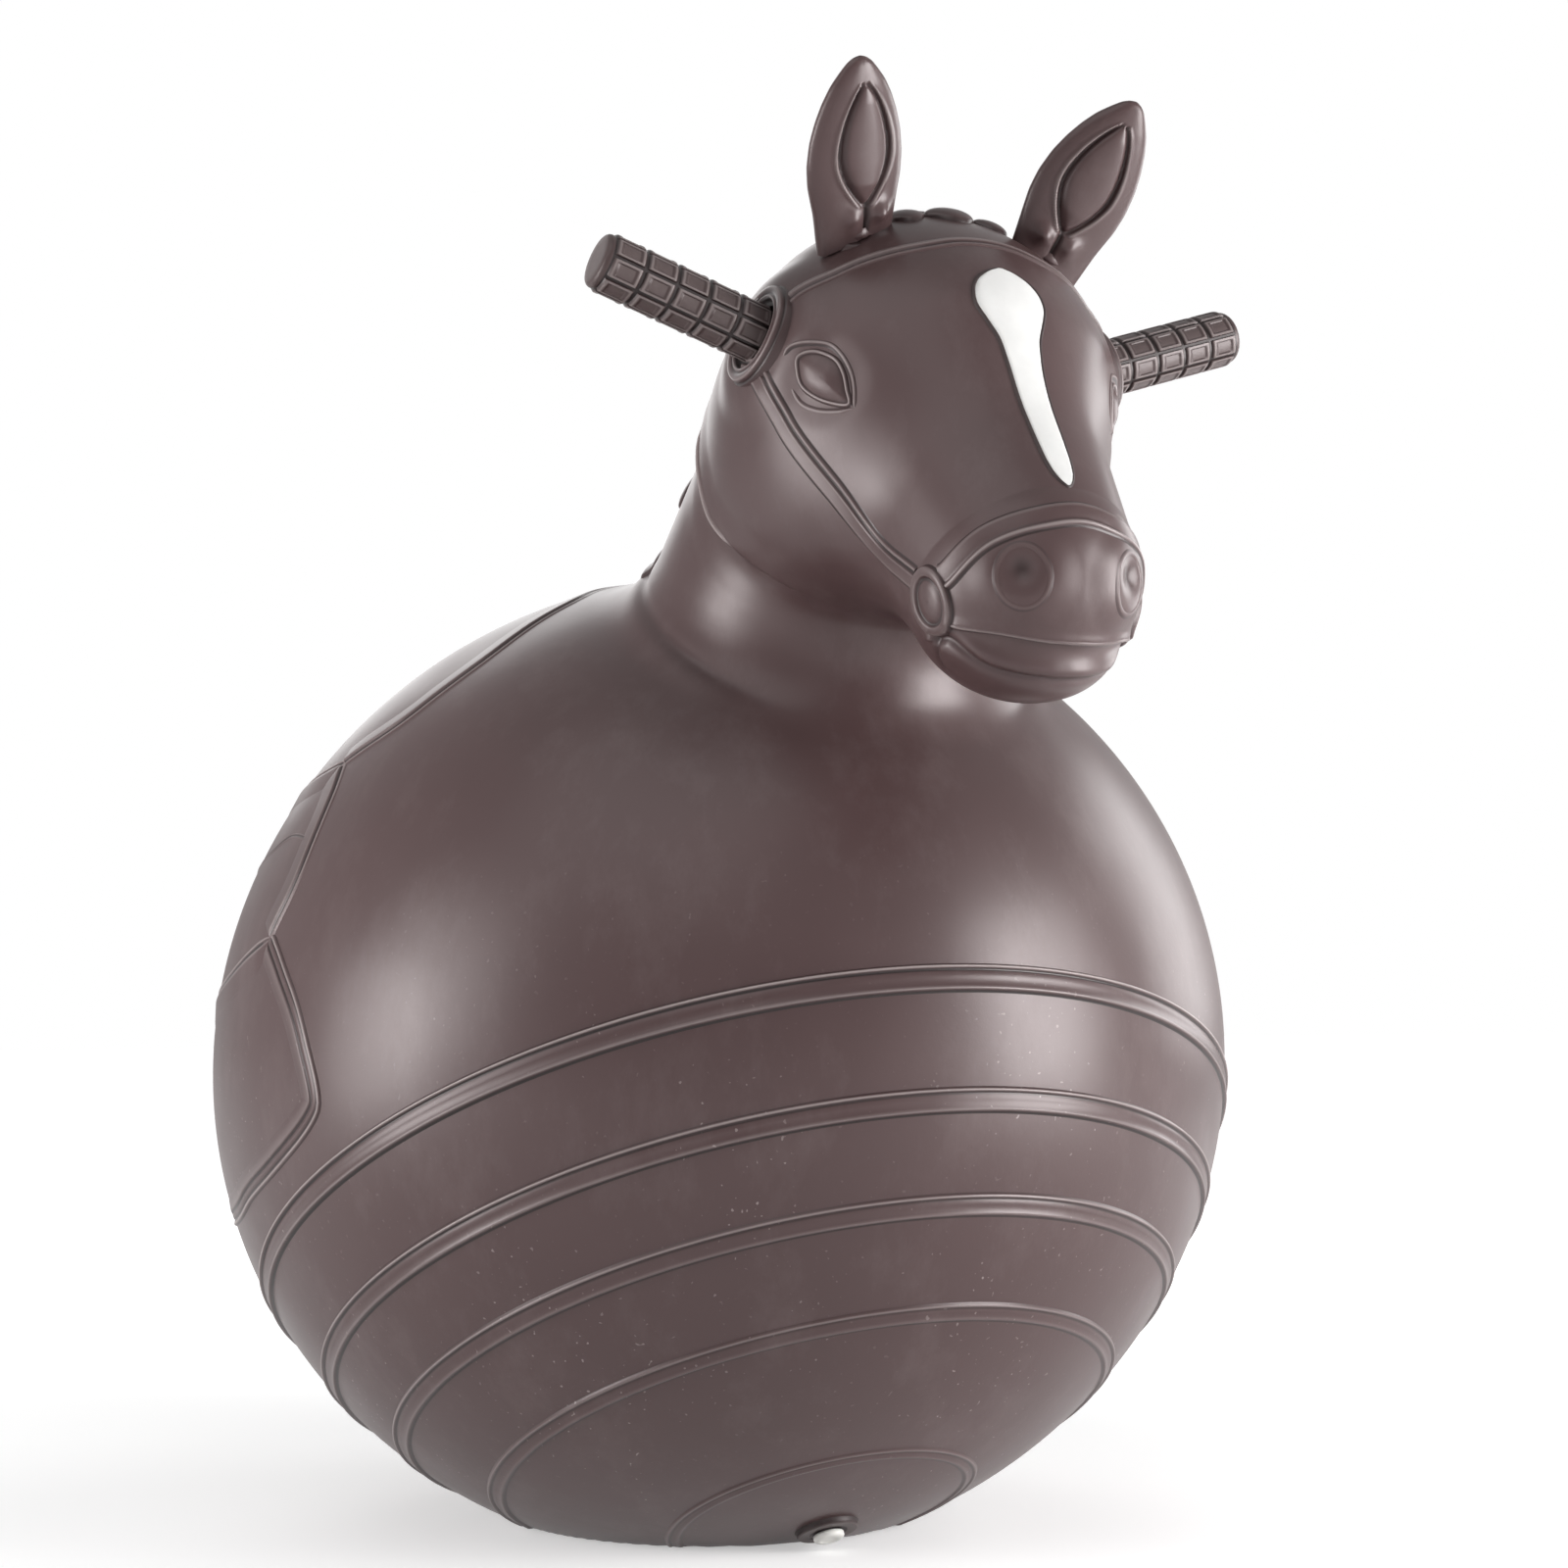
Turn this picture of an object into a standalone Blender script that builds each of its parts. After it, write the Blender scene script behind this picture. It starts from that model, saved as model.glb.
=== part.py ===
"""Inflatable ride-on horse: a hollow moulded skin, held as the ball and the head that rises from it,
two plug-in handles with waffle grips, two plug-in ears, a white forehead blaze and an air valve.

Metres, +Z up. The horse faces -Y, its left side is +X, and the origin lies on the floor
below the centre of the ball, in the flat patch on which the soft ball settles.
"""

from math import cos, pi, radians, sin, sqrt

import bmesh
import bpy
import numpy as np
from mathutils import Matrix

for old in list(bpy.data.objects):
    bpy.data.objects.remove(old, do_unlink=True)
for old in list(bpy.data.collections):
    bpy.data.collections.remove(old)

# Ball
BALL_RADIUS = 0.260        # across the ribs' own planes
BALL_HALF_HEIGHT = 0.249   # along the moulding axis, a little squat
BALL_LEAN = 28.7           # degrees the moulding axis leans back
FLOOR_SINK = 0.0225        # how far the soft ball settles on the floor
SKIN = 0.0018              # wall
RIB_HEIGHT = 0.0016        # raised bands round the lower half
RIB_WIDTH = 0.0100
RIB_PLACES = (-0.338, -0.529, -0.677, -0.813, -0.960)   # along the axis, in half heights
# Head and neck, set out from the middle of the skull
HEAD_RISE = 0.118          # skull middle beyond the ball
HEAD_BEARING = 34.5        # degrees forward of straight up, seen from the ball's centre
SKULL_HALF_WIDTH = 0.089
SKULL_HALF_DEPTH = 0.080
SKULL_HALF_HEIGHT = 0.080
NECK_ROOT_RADIUS = 0.106
NECK_ROOT_BACK = 0.136
NECK_ROOT_DROP = 0.175
NECK_TOP_RADIUS = 0.074
NECK_TOP_BACK = 0.046
NECK_TOP_DROP = 0.017
NECK_FILLET = 0.022        # soft valley where the neck leaves the ball
NECK_SEAM_RADIUS = 0.130   # round the neck, where that valley has run out on the ball
MUZZLE_ROOT_RADIUS = 0.067
MUZZLE_ROOT_AHEAD = 0.022
MUZZLE_ROOT_DROP = 0.023
MUZZLE_TIP_RADIUS = 0.051
MUZZLE_TIP_AHEAD = 0.089
MUZZLE_TIP_DROP = 0.098
JOWL_SPREAD = 0.0383       # each cheek's middle beside the face's own
JOWL_BACK = 0.018
JOWL_DROP = 0.035
JOWL_HALF_WIDTH = 0.048
JOWL_HALF_DEPTH = 0.070
JOWL_HALF_HEIGHT = 0.060
CHIN_AHEAD = 0.086
CHIN_DROP = 0.116
CHIN_HALF_WIDTH = 0.0408
CHIN_HALF_DEPTH = 0.039
CHIN_HALF_HEIGHT = 0.025
SKULL_BLEND = 0.030        # how softly skull, cheeks, muzzle and chin run into each other
JOWL_BLEND = 0.020
MUZZLE_BLEND = 0.030
CHIN_BLEND = 0.012
THROAT_AHEAD = 0.024       # just clear of the skin, under the jaw
THROAT_DROP = 0.132
# Relief on the face, for its right side, set out from the skull's middle
EYE_RIM = ((-0.0815, -0.0350, -0.0020), (-0.0770, -0.0430, 0.0030), (-0.0700, -0.0540, -0.0010),
           (-0.0670, -0.0580, -0.0110), (-0.0665, -0.0585, -0.0220), (-0.0730, -0.0500, -0.0200),
           (-0.0800, -0.0390, -0.0120))
EYE_BULGE = 0.0032
NOSTRIL = (-0.0250, -0.1310, -0.1020)
NOSTRIL_RADIUS = 0.0165
NOSTRIL_RISE = 0.0030
ROSETTE = (-0.0480, -0.0960, -0.1110)
ROSETTE_HALF_WIDTH = 0.0120
ROSETTE_HALF_HEIGHT = 0.0155
ROSETTE_RISE = 0.0026
CHEEK_STRAP = ((-0.0865, -0.0120, -0.0060), (-0.0850, -0.0250, -0.0200), (-0.0770, -0.0360, -0.0420),
               (-0.0640, -0.0500, -0.0660), (-0.0540, -0.0630, -0.0850), (-0.0500, -0.0840, -0.1000))
NOSEBAND = ((-0.0460, -0.1070, -0.1010), (-0.0365, -0.1210, -0.0870), (-0.0165, -0.1320, -0.0790),
            (0.0, -0.1350, -0.0760))
BROWBAND = ((-0.0740, -0.0230, 0.0330), (-0.0610, -0.0420, 0.0410), (-0.0320, -0.0560, 0.0510),
            (0.0, -0.0585, 0.0560))
STRAP_HALF_WIDTH = 0.0055
STRAP_RISE = 0.0014
BROW_HALF_WIDTH = 0.0030
# Mane
MANE_TURNS = (-16.0, 6.0, 29.0, 54.0)   # degrees back from straight up, about the skull's middle
MANE_SHARES = (0.26, 0.44)                # down the neck's length
KNOT_HALF_WIDTH = 0.0125
KNOT_HEIGHT = 0.0060
# Handles
GRIP_RADIUS = 0.0138       # over the waffle blocks
GRIP_GROOVE = 0.0013
GRIP_LENGTH = 0.082
GRIP_BLOCK_ROWS = 5
GRIP_BLOCKS_ROUND = 8
HANDLE_SLOPE = 18.0        # degrees above level
HANDLE_AHEAD = 0.0090      # of the skull's middle, where the handles' axes meet
HANDLE_DROP = 0.0120
CORE_RADIUS = 0.0095
SOCKET_DEPTH = 0.046
COLLAR_RADIUS = 0.0230
COLLAR_RISE = 0.0035
# Ears
EAR_LENGTH = 0.080
EAR_HALF_WIDTH = 0.0232
EAR_THICKNESS = 0.015
EAR_STEM_RADIUS = 0.0060
EAR_STEM_LENGTH = 0.018
EAR_SEAT_RADIUS = 0.0135
EAR_SEAT_RISE = 0.0020
# Valve
VALVE_BORE = 0.0110        # hole in the skin
PLUG_RADIUS = 0.0075
PLUG_STEM_RADIUS = 0.0044
PLUG_STEM_LENGTH = 0.0150
VALVE_RING_RADIUS = 0.0150
VALVE_RING_HEIGHT = 0.0025
VALVE_SLEEVE_DEPTH = 0.0120
# Blaze, from the brow to the nose
BLAZE_FILM = 0.0006
BLAZE_HALF_WIDTH = 0.0178
BLAZE_TOP_AHEAD = 0.072
BLAZE_TOP_RISE = 0.041
BLAZE_TIP_AHEAD = 0.126
BLAZE_TIP_DROP = 0.064
GAP = 0.0003               # clearance between pieces that touch

BALL_ROUND = 36            # facets round the ball and round the head
HEAD_ROUND = 26
NECK_SECTIONS = (0.0, 0.10, 0.22, 0.36, 0.54, 0.77)   # from the neck's seam to the throat
TURNS = 15                 # sections fanned round the throat
MUZZLE_STEPS = 4
TAU = 2.0 * pi


def point(y, z):
    return np.array([0.0, y, z])


LEAN = radians(BALL_LEAN)
AXIS = np.array([0.0, sin(LEAN), cos(LEAN)])          # up through the ball, leaning back
REACH = sqrt((BALL_RADIUS * sin(LEAN)) ** 2 + (BALL_HALF_HEIGHT * cos(LEAN)) ** 2)
BALL = point(0.0, REACH - FLOOR_SINK)
BEARING = radians(HEAD_BEARING)
HEAD = BALL + (BALL_RADIUS + HEAD_RISE) * np.array([0.0, -sin(BEARING), cos(BEARING)])

NECK_ROOT = HEAD + point(NECK_ROOT_BACK, -NECK_ROOT_DROP)
NECK_TOP = HEAD + point(NECK_TOP_BACK, -NECK_TOP_DROP)
MUZZLE_ROOT = HEAD + point(-MUZZLE_ROOT_AHEAD, -MUZZLE_ROOT_DROP)
MUZZLE_TIP = HEAD + point(-MUZZLE_TIP_AHEAD, -MUZZLE_TIP_DROP)
JOWL = HEAD + point(JOWL_BACK, -JOWL_DROP)
CHIN = HEAD + point(-CHIN_AHEAD, -CHIN_DROP)
THROAT = HEAD + point(-THROAT_AHEAD, -THROAT_DROP)
UP_NECK = (NECK_TOP - NECK_ROOT) / np.linalg.norm(NECK_TOP - NECK_ROOT)
NECK_FRONT = np.array([0.0, -UP_NECK[2], UP_NECK[1]])
FORWARD = np.array([0.0, -1.0, 0.0])


def blend(a, b, width):
    h = np.clip(0.5 + 0.5 * (b - a) / width, 0.0, 1.0)
    return b + (a - b) * h - width * h * (1.0 - h)


def egg(p, middle, half, lean):
    """Signed distance, near enough, to an ellipsoid leaning forward by lean degrees."""
    t = radians(lean)
    d = p - middle
    up = np.array([0.0, -sin(t), cos(t)])
    front = np.array([0.0, -cos(t), -sin(t)])
    q = np.stack([d[..., 0], d @ front, d @ up], -1)
    half = np.array(half)
    near = np.linalg.norm(q / half, axis=-1)
    slope = np.linalg.norm(q / (half * half), axis=-1) + 1e-9
    return near * (near - 1.0) / slope


def taper(p, a, b, ra, rb):
    d = p - a
    run = np.linalg.norm(b - a)
    u = (b - a) / run
    t = np.clip((d @ u) / run, 0.0, 1.0)
    return np.linalg.norm(d - (t * run)[..., None] * u, axis=-1) - (ra + (rb - ra) * t)


def head_form(p):
    f = taper(p, NECK_ROOT, NECK_TOP, NECK_ROOT_RADIUS, NECK_TOP_RADIUS)
    skull = (SKULL_HALF_WIDTH, SKULL_HALF_DEPTH, SKULL_HALF_HEIGHT)
    f = blend(f, egg(p, HEAD, skull, 25.0), SKULL_BLEND)
    side = p.copy()
    side[..., 0] = np.abs(side[..., 0]) - JOWL_SPREAD
    f = blend(f, egg(side, JOWL, (JOWL_HALF_WIDTH, JOWL_HALF_DEPTH, JOWL_HALF_HEIGHT), 30.0), JOWL_BLEND)
    f = blend(f, taper(p, MUZZLE_ROOT, MUZZLE_TIP, MUZZLE_ROOT_RADIUS, MUZZLE_TIP_RADIUS), MUZZLE_BLEND)
    return blend(f, egg(p, CHIN, (CHIN_HALF_WIDTH, CHIN_HALF_DEPTH, CHIN_HALF_HEIGHT), 45.0), CHIN_BLEND)


def skin_form(p):
    return blend(ball_form(p), head_form(p), NECK_FILLET)


def hollow_form(p):
    return skin_form(p) + SKIN


def cast(start, ways, form, far=0.62, steps=80):
    """Where each ray first leaves the form."""
    ts = np.linspace(0.0, far, steps)
    out = np.stack([form(start + ways * t) for t in ts], 0) > 0.0
    first = np.maximum(np.argmax(out, axis=0), 1)
    lo = ts[first - 1]
    hi = ts[first]
    for _ in range(30):
        mid = 0.5 * (lo + hi)
        inside = form(start + ways * mid[:, None]) < 0.0
        lo = np.where(inside, mid, lo)
        hi = np.where(inside, hi, mid)
    return start + ways * (0.5 * (lo + hi))[:, None]


def ring_at(middle, front, form, n):
    turn = TAU * (np.arange(n) + 0.5) / n
    ways = np.cos(turn)[:, None] * front + np.sin(turn)[:, None] * np.array([1.0, 0.0, 0.0])
    return cast(middle, ways, form)


def seam_height():
    """How far up the neck's line from the ball's centre the head's skin begins."""
    top = cast(BALL, UP_NECK[None], ball_form)[0] - BALL
    return sqrt(top @ top - NECK_SEAM_RADIUS ** 2)


def head_rows(form):
    """Sections up the neck, fanned round the throat and out along the muzzle, with the muzzle's end."""
    rows = []
    seam = seam_height()
    throat = float((THROAT - BALL) @ UP_NECK)
    for share in NECK_SECTIONS:
        place = BALL + UP_NECK * (seam + (throat - seam) * share)
        rows.append(ring_at(place, NECK_FRONT, form, HEAD_ROUND))
    first = np.degrees(np.arctan2(-UP_NECK[1], UP_NECK[2]))
    down = (MUZZLE_TIP - MUZZLE_ROOT) / np.linalg.norm(MUZZLE_TIP - MUZZLE_ROOT)
    last = np.degrees(np.arctan2(-down[1], down[2]))
    for k in range(TURNS + 1):
        a = radians(first + (last - first) * k / TURNS)
        way = np.array([0.0, cos(a), sin(a)])          # from the throat into the head
        s = np.linspace(0.0, 0.4, 801)
        inside = np.nonzero(skin_form(THROAT + way * s[:, None]) < 0.0)[0]
        run = inside[: np.argmax(np.append(np.diff(inside) > 1, True)) + 1]
        middle = THROAT + way * (0.5 * (s[run[0]] + s[run[-1]]))
        rows.append(ring_at(middle, -way, form, HEAD_ROUND))
    s = np.linspace(0.0, 0.2, 801)
    end = s[np.argmax(form(middle + down * s[:, None]) > 0.0)]
    for k in range(1, MUZZLE_STEPS + 1):
        place = middle + down * end * sin(0.5 * pi * k / (MUZZLE_STEPS + 0.45))
        rows.append(ring_at(place, -way, form, HEAD_ROUND))
    return rows, middle + down * end


def head_solid(name):
    rows, end = head_rows(skin_form)
    return lofted(name, rows, BALL + UP_NECK * seam_height(), end)


def head_hollow(name):
    """The room inside the head, running out through its foot."""
    rows, end = head_rows(hollow_form)
    out = -UP_NECK * 4.0 * SKIN
    rows[0] = rows[0] + out
    return lofted(name, rows, BALL + UP_NECK * seam_height() + out, end)


def ball_rows(places, form, n):
    front = np.array([0.0, -cos(LEAN), sin(LEAN)])
    return [ring_at(BALL + AXIS * place, front, form, n) for place in places]


def ball_form(p):
    return egg(p, BALL, (BALL_RADIUS, BALL_RADIUS, BALL_HALF_HEIGHT), -BALL_LEAN)


def ball_hollow_form(p):
    return ball_form(p) + SKIN


def group(name):
    made = bpy.data.collections.new(name)
    bpy.context.scene.collection.children.link(made)
    return made


PARTS = group("bouncy_ride_on_horse")
CUTTERS = group("cutters")


def vinyl(name, colour, rough):
    material = bpy.data.materials.new(name)
    material.use_nodes = True
    shader = material.node_tree.nodes["Principled BSDF"]
    shader.inputs["Base Color"].default_value = (*colour, 1.0)
    shader.inputs["Roughness"].default_value = rough
    shader.inputs["Metallic"].default_value = 0.0
    return material


def body(name, place=None, axis=None):
    """An empty that carries one moving body's pieces, its Z along the joint's axis."""
    empty = bpy.data.objects.new(name, None)
    empty.empty_display_size = 0.03
    PARTS.objects.link(empty)
    if axis is not None:
        empty.matrix_world = stand(place, axis)
    return empty


def stand(place, axis):
    """Matrix of something that stands at a place with its Z along an axis."""
    m = np.eye(4)
    m[:3, :3] = frame_on(axis, FORWARD)
    m[:3, 3] = place
    return Matrix(m.tolist())


def dress(thing, carrier, material):
    """Finish a sub-part: its group, its body, its material and smooth shading with crisp edges."""
    for held in list(thing.users_collection):
        held.objects.unlink(thing)
    PARTS.objects.link(thing)
    thing.parent = carrier
    thing.data.materials.clear()
    thing.data.materials.append(material)
    thing.data.shade_smooth()
    thing.data.set_sharp_from_angle(angle=radians(32.0))


def link(name, bm):
    bmesh.ops.recalc_face_normals(bm, faces=bm.faces)
    mesh = bpy.data.meshes.new(name)
    bm.to_mesh(mesh)
    bm.free()
    thing = bpy.data.objects.new(name, mesh)
    bpy.context.scene.collection.objects.link(thing)
    return thing


def mesh_object(name, verts, faces):
    bm = bmesh.new()
    points = [bm.verts.new(tuple(float(c) for c in v)) for v in verts]
    for face in faces:
        bm.faces.new([points[k] for k in face])
    return link(name, bm)


def settle(bm, faces, level):
    """Press one surface flat where it would go below the level, with a clean edge to the patch."""
    geom = set(faces)
    for face in faces:
        geom.update(face.edges)
        geom.update(face.verts)
    cut = bmesh.ops.bisect_plane(bm, geom=list(geom), dist=1e-7, plane_co=(0.0, 0.0, level),
                                 plane_no=(0.0, 0.0, 1.0))
    flat = []
    for part in cut["geom"]:
        if isinstance(part, bmesh.types.BMFace):
            if part.calc_center_median().z < level - 1e-7:
                flat.append(part)
    for face in flat:
        for v in face.verts:
            v.co.z = level
    bmesh.ops.dissolve_faces(bm, faces=flat)


def lofted(name, rows, start, end, level=None):
    """Closed solid through rings, with a point at each end, pressed flat at the level if one is given."""
    bm = bmesh.new()
    grid = [[bm.verts.new(tuple(v)) for v in row] for row in rows]
    n = len(grid[0])
    ends = [bm.verts.new(tuple(start)), bm.verts.new(tuple(end))]
    faces = []
    for lo, hi in zip(grid, grid[1:]):
        for j in range(n):
            i = (j + 1) % n
            faces.append(bm.faces.new((lo[j], lo[i], hi[i], hi[j])))
    for j in range(n):
        i = (j + 1) % n
        faces.append(bm.faces.new((grid[0][i], grid[0][j], ends[0])))
        faces.append(bm.faces.new((grid[-1][j], grid[-1][i], ends[1])))
    if level is not None:
        settle(bm, faces, level)
    return link(name, bm)


def ball_solid(name):
    places = []
    for ratio in sorted(RIB_PLACES):
        d = ratio * BALL_HALF_HEIGHT
        # the band's width is measured along the skin, so it is foreshortened along the axis
        w = 0.5 * RIB_WIDTH * sqrt(max(0.02, 1.0 - (d / BALL_HALF_HEIGHT) ** 2))
        step = 0.22 * w
        places.extend([(d - w - step, 0.0), (d - w + step, 1.0), (d + w - step, 1.0), (d + w + step, 0.0)])
    marks = [p for p, _ in places]
    for k in range(4):
        places.append((0.5 * (marks[4 * k + 3] + marks[4 * k + 4]), 0.0))
    for angle in (4.0, 10.0):
        places.append((-BALL_HALF_HEIGHT * cos(radians(angle)), 0.0))
    for angle in (3.0, 14.0, 25.0, 36.0, 47.0, 57.0, 67.0, 76.0, 84.0):
        places.append((BALL_HALF_HEIGHT * sin(radians(angle)), 0.0))
    places.append((0.45 * BALL_HALF_HEIGHT * max(RIB_PLACES), 0.0))
    places.sort()
    rows = ball_rows([p for p, _ in places], ball_form, BALL_ROUND)
    for row, (place, rise) in zip(rows, places):
        if rise > 0.0:
            away = row - BALL
            row += away / np.linalg.norm(away, axis=1)[:, None] * RIB_HEIGHT
    return lofted(name, rows, BALL - AXIS * BALL_HALF_HEIGHT, BALL + AXIS * BALL_HALF_HEIGHT, 0.0)


def ball_hollow(name):
    high = BALL_HALF_HEIGHT - SKIN
    places = [-high * cos(radians(8.0 + 10.93 * k)) for k in range(16)]
    rows = ball_rows(places, ball_hollow_form, BALL_ROUND)
    return lofted(name, rows, BALL - AXIS * high, BALL + AXIS * high, SKIN)


def frame_on(axis, hint):
    """Columns side, hint-ish, axis: a right-handed frame whose Z is the given axis."""
    z = axis / np.linalg.norm(axis)
    y = hint - z * (hint @ z)
    y = y / np.linalg.norm(y)
    x = np.cross(y, z)
    return np.stack([x, y, z], 1)


def turned(name, profile, n=20):
    """Solid turned about its own Z: profile is (radius, height), from axis to axis or a closed ring."""
    area = sum(a[0] * b[1] - b[0] * a[1] for a, b in zip(profile, profile[1:] + profile[:1]))
    if area > 0.0:
        profile = profile[::-1]
    ring = profile[0][0] > 1e-9
    count = len(profile)
    edges = [(k, (k + 1) % count) for k in range(count if ring else count - 1)]
    mesh = bpy.data.meshes.new(name)
    mesh.from_pydata([(r, 0.0, h) for r, h in profile], edges, [])
    thing = bpy.data.objects.new(name, mesh)
    bpy.context.scene.collection.objects.link(thing)
    screw = thing.modifiers.new("screw", "SCREW")
    screw.steps = n
    screw.render_steps = n
    screw.use_merge_vertices = True
    screw.merge_threshold = 0.00001
    return thing


def tool_at(tool, place, axis):
    tool.matrix_world = stand(place, axis)
    return tool


def combine(target, tools, how):
    """One Boolean on the target, with all the tools as the islands of a single hidden cutter."""
    bpy.context.view_layer.update()
    graph = bpy.context.evaluated_depsgraph_get()
    bm = bmesh.new()
    for tool in tools:
        shape = bpy.data.meshes.new_from_object(tool.evaluated_get(graph))
        shape.transform(tool.matrix_world)
        bm.from_mesh(shape)
        bpy.data.meshes.remove(shape)
    for tool in tools:
        bpy.data.objects.remove(tool, do_unlink=True)
    cutter = link(target.name + "_" + how.lower(), bm)
    bpy.context.scene.collection.objects.unlink(cutter)
    CUTTERS.objects.link(cutter)
    cutter.hide_render = True
    cutter.display_type = "WIRE"
    cut = target.modifiers.new(how.lower(), "BOOLEAN")
    cut.operation = how
    cut.solver = "EXACT"
    cut.object = cutter
    # corners that the cut leaves in the same place become one
    weld = target.modifiers.new("weld", "WELD")
    weld.merge_threshold = 0.00002


def surface_from(start, way):
    way = way / np.linalg.norm(way)
    return cast(start, way[None], skin_form)[0]


def handle_place(side):
    t = radians(HANDLE_SLOPE)
    axis = np.array([side * cos(t), 0.0, sin(t)])
    heart = HEAD + point(-HANDLE_AHEAD, -HANDLE_DROP)
    foot = surface_from(heart, axis)
    return foot, axis


def ear_place(side):
    way = np.array([side * 0.051, -0.030, 0.0625])
    foot = surface_from(HEAD, way)
    axis = np.array([side * 0.26, -0.56, 0.79])
    return foot, axis / np.linalg.norm(axis)


def mane_places():
    places = []
    for turn in MANE_TURNS:
        places.append((HEAD, np.array([0.0, sin(radians(turn)), cos(radians(turn))])))
    along = NECK_ROOT - NECK_TOP
    back = np.array([0.0, -along[2], along[1]]) / np.linalg.norm(along)
    for share in MANE_SHARES:
        places.append((NECK_TOP + along * share, back))
    return places


def knot(name, middle, way):
    """One plaited knot, a low dome rooted in the crest."""
    root = 2.8 * SKIN
    profile = [(0.0, -root), (KNOT_HALF_WIDTH, -root)]
    profile.extend([(KNOT_HALF_WIDTH * sqrt(1.0 - k * k), k * KNOT_HEIGHT) for k in (0.10, 0.50, 0.85)])
    profile.append((0.0, KNOT_HEIGHT))
    return tool_at(turned(name, profile, 10), middle, way)


def grip_sleeve(name):
    """Waffle grip: a cup whose wall carries rows of raised square blocks."""
    start = COLLAR_RISE - 0.0040 + GAP
    end = start + GRIP_LENGTH
    groove = GRIP_RADIUS - GRIP_GROOVE
    bore = CORE_RADIUS + GAP
    n = GRIP_BLOCKS_ROUND * 3
    plain = 0.0060
    pitch = (GRIP_LENGTH - 2.0 * plain) / GRIP_BLOCK_ROWS
    levels = [(start, False), (start + plain, False)]
    for k in range(GRIP_BLOCK_ROWS):
        a = start + plain + k * pitch
        levels.extend([(a + 0.16 * pitch, False), (a + 0.20 * pitch, True),
                       (a + 0.80 * pitch, True), (a + 0.84 * pitch, False)])
    levels.extend([(end - plain, False), (end - 0.0020, False)])
    verts = []
    for h, raised in levels:
        for j in range(n):
            lift = raised and j % 3 != 2
            a = TAU * j / n
            r = GRIP_RADIUS if lift else groove
            verts.append((r * cos(a), r * sin(a), h))
    rows = len(levels)
    for r, h in ((groove - 0.0020, end), (bore, start), (bore, end - 0.0030)):
        for j in range(n):
            a = TAU * j / n
            verts.append((r * cos(a), r * sin(a), h))
    faces = []
    order = [rows + 2, rows + 1] + list(range(rows)) + [rows]
    for lo, hi in zip(order, order[1:]):
        for j in range(n):
            i = (j + 1) % n
            faces.append((lo * n + j, lo * n + i, hi * n + i, hi * n + j))
    faces.append(tuple(rows * n + j for j in range(n)))
    faces.append(tuple((rows + 2) * n + n - 1 - j for j in range(n)))
    return mesh_object(name, verts, faces)


def ear(name):
    """Leaf on a round foot with a stem: rim standing proud of a bulging inner leaf."""
    rise = EAR_SEAT_RISE + GAP
    stations = ((0.000, 0.50, 0.72, 0.00), (0.045, 0.56, 0.78, 0.00), (0.16, 0.74, 0.90, 0.10),
                (0.32, 0.93, 1.00, 0.22), (0.50, 1.00, 1.00, 0.26), (0.68, 0.88, 0.86, 0.24),
                (0.83, 0.60, 0.64, 0.18), (0.94, 0.27, 0.40, 0.06))
    n = 16
    verts = []
    for s, wide, thick, dish in stations:
        w = wide * EAR_HALF_WIDTH
        t = 0.5 * thick * EAR_THICKNESS
        bow = 0.10 * EAR_LENGTH * (s * s - s)
        for j in range(n):
            a = TAU * j / n
            x = w * cos(a)
            y = t * sin(a)
            if y > 0.0:
                # the front is dished between the rims
                y = y - dish * EAR_THICKNESS * (1.0 - abs(cos(a)) ** 2.0)
            verts.append((x, y + bow, rise + s * EAR_LENGTH))
    tip = len(verts)
    verts.append((0.0, 0.0, rise + EAR_LENGTH))
    stem_top = len(verts)
    stem = ((EAR_STEM_RADIUS, 0.0), (EAR_STEM_RADIUS, -EAR_STEM_LENGTH))
    for r, h in stem:
        for j in range(n):
            a = TAU * j / n
            verts.append((r * cos(a), r * sin(a), rise + h))
    faces = []
    for k in range(len(stations) - 1):
        for j in range(n):
            i = (j + 1) % n
            faces.append((k * n + j, k * n + i, (k + 1) * n + i, (k + 1) * n + j))
    for j in range(n):
        i = (j + 1) % n
        faces.append(((len(stations) - 1) * n + j, (len(stations) - 1) * n + i, tip))
        faces.append((stem_top + j, stem_top + i, i, j))
        faces.append((stem_top + n + j, stem_top + n + i, stem_top + i, stem_top + j))
    faces.append(tuple(stem_top + n + n - 1 - j for j in range(n)))
    return mesh_object(name, verts, faces)


def steepest(p):
    e = 1e-4
    n = np.stack([skin_form(p + d) - skin_form(p - d) for d in np.eye(3) * e], -1)
    return n / np.linalg.norm(n, axis=-1)[..., None]


def settled(p):
    """The points moved on to the skin."""
    for _ in range(5):
        p = p - steepest(p) * skin_form(p)[..., None]
    return p


def on_face(points, side):
    """Points of the face's right side, or their mirror on the left, set on the skin."""
    return settled(np.array(points) * np.array([-side, 1.0, 1.0]) + HEAD)


def pad(name, loop, steps, crown):
    """A moulded pad over a loop on the skin: steps are (share of the loop, height)."""
    middle = settled(loop.mean(axis=0)[None])
    up = steepest(middle)
    rows = [loop - steepest(loop) * ROOT]
    for share, rise in steps:
        row = settled(middle + (loop - middle) * share)
        rows.append(row + steepest(row) * rise)
    return lofted(name, rows, (middle - up * ROOT)[0], (middle + up * crown)[0])


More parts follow.
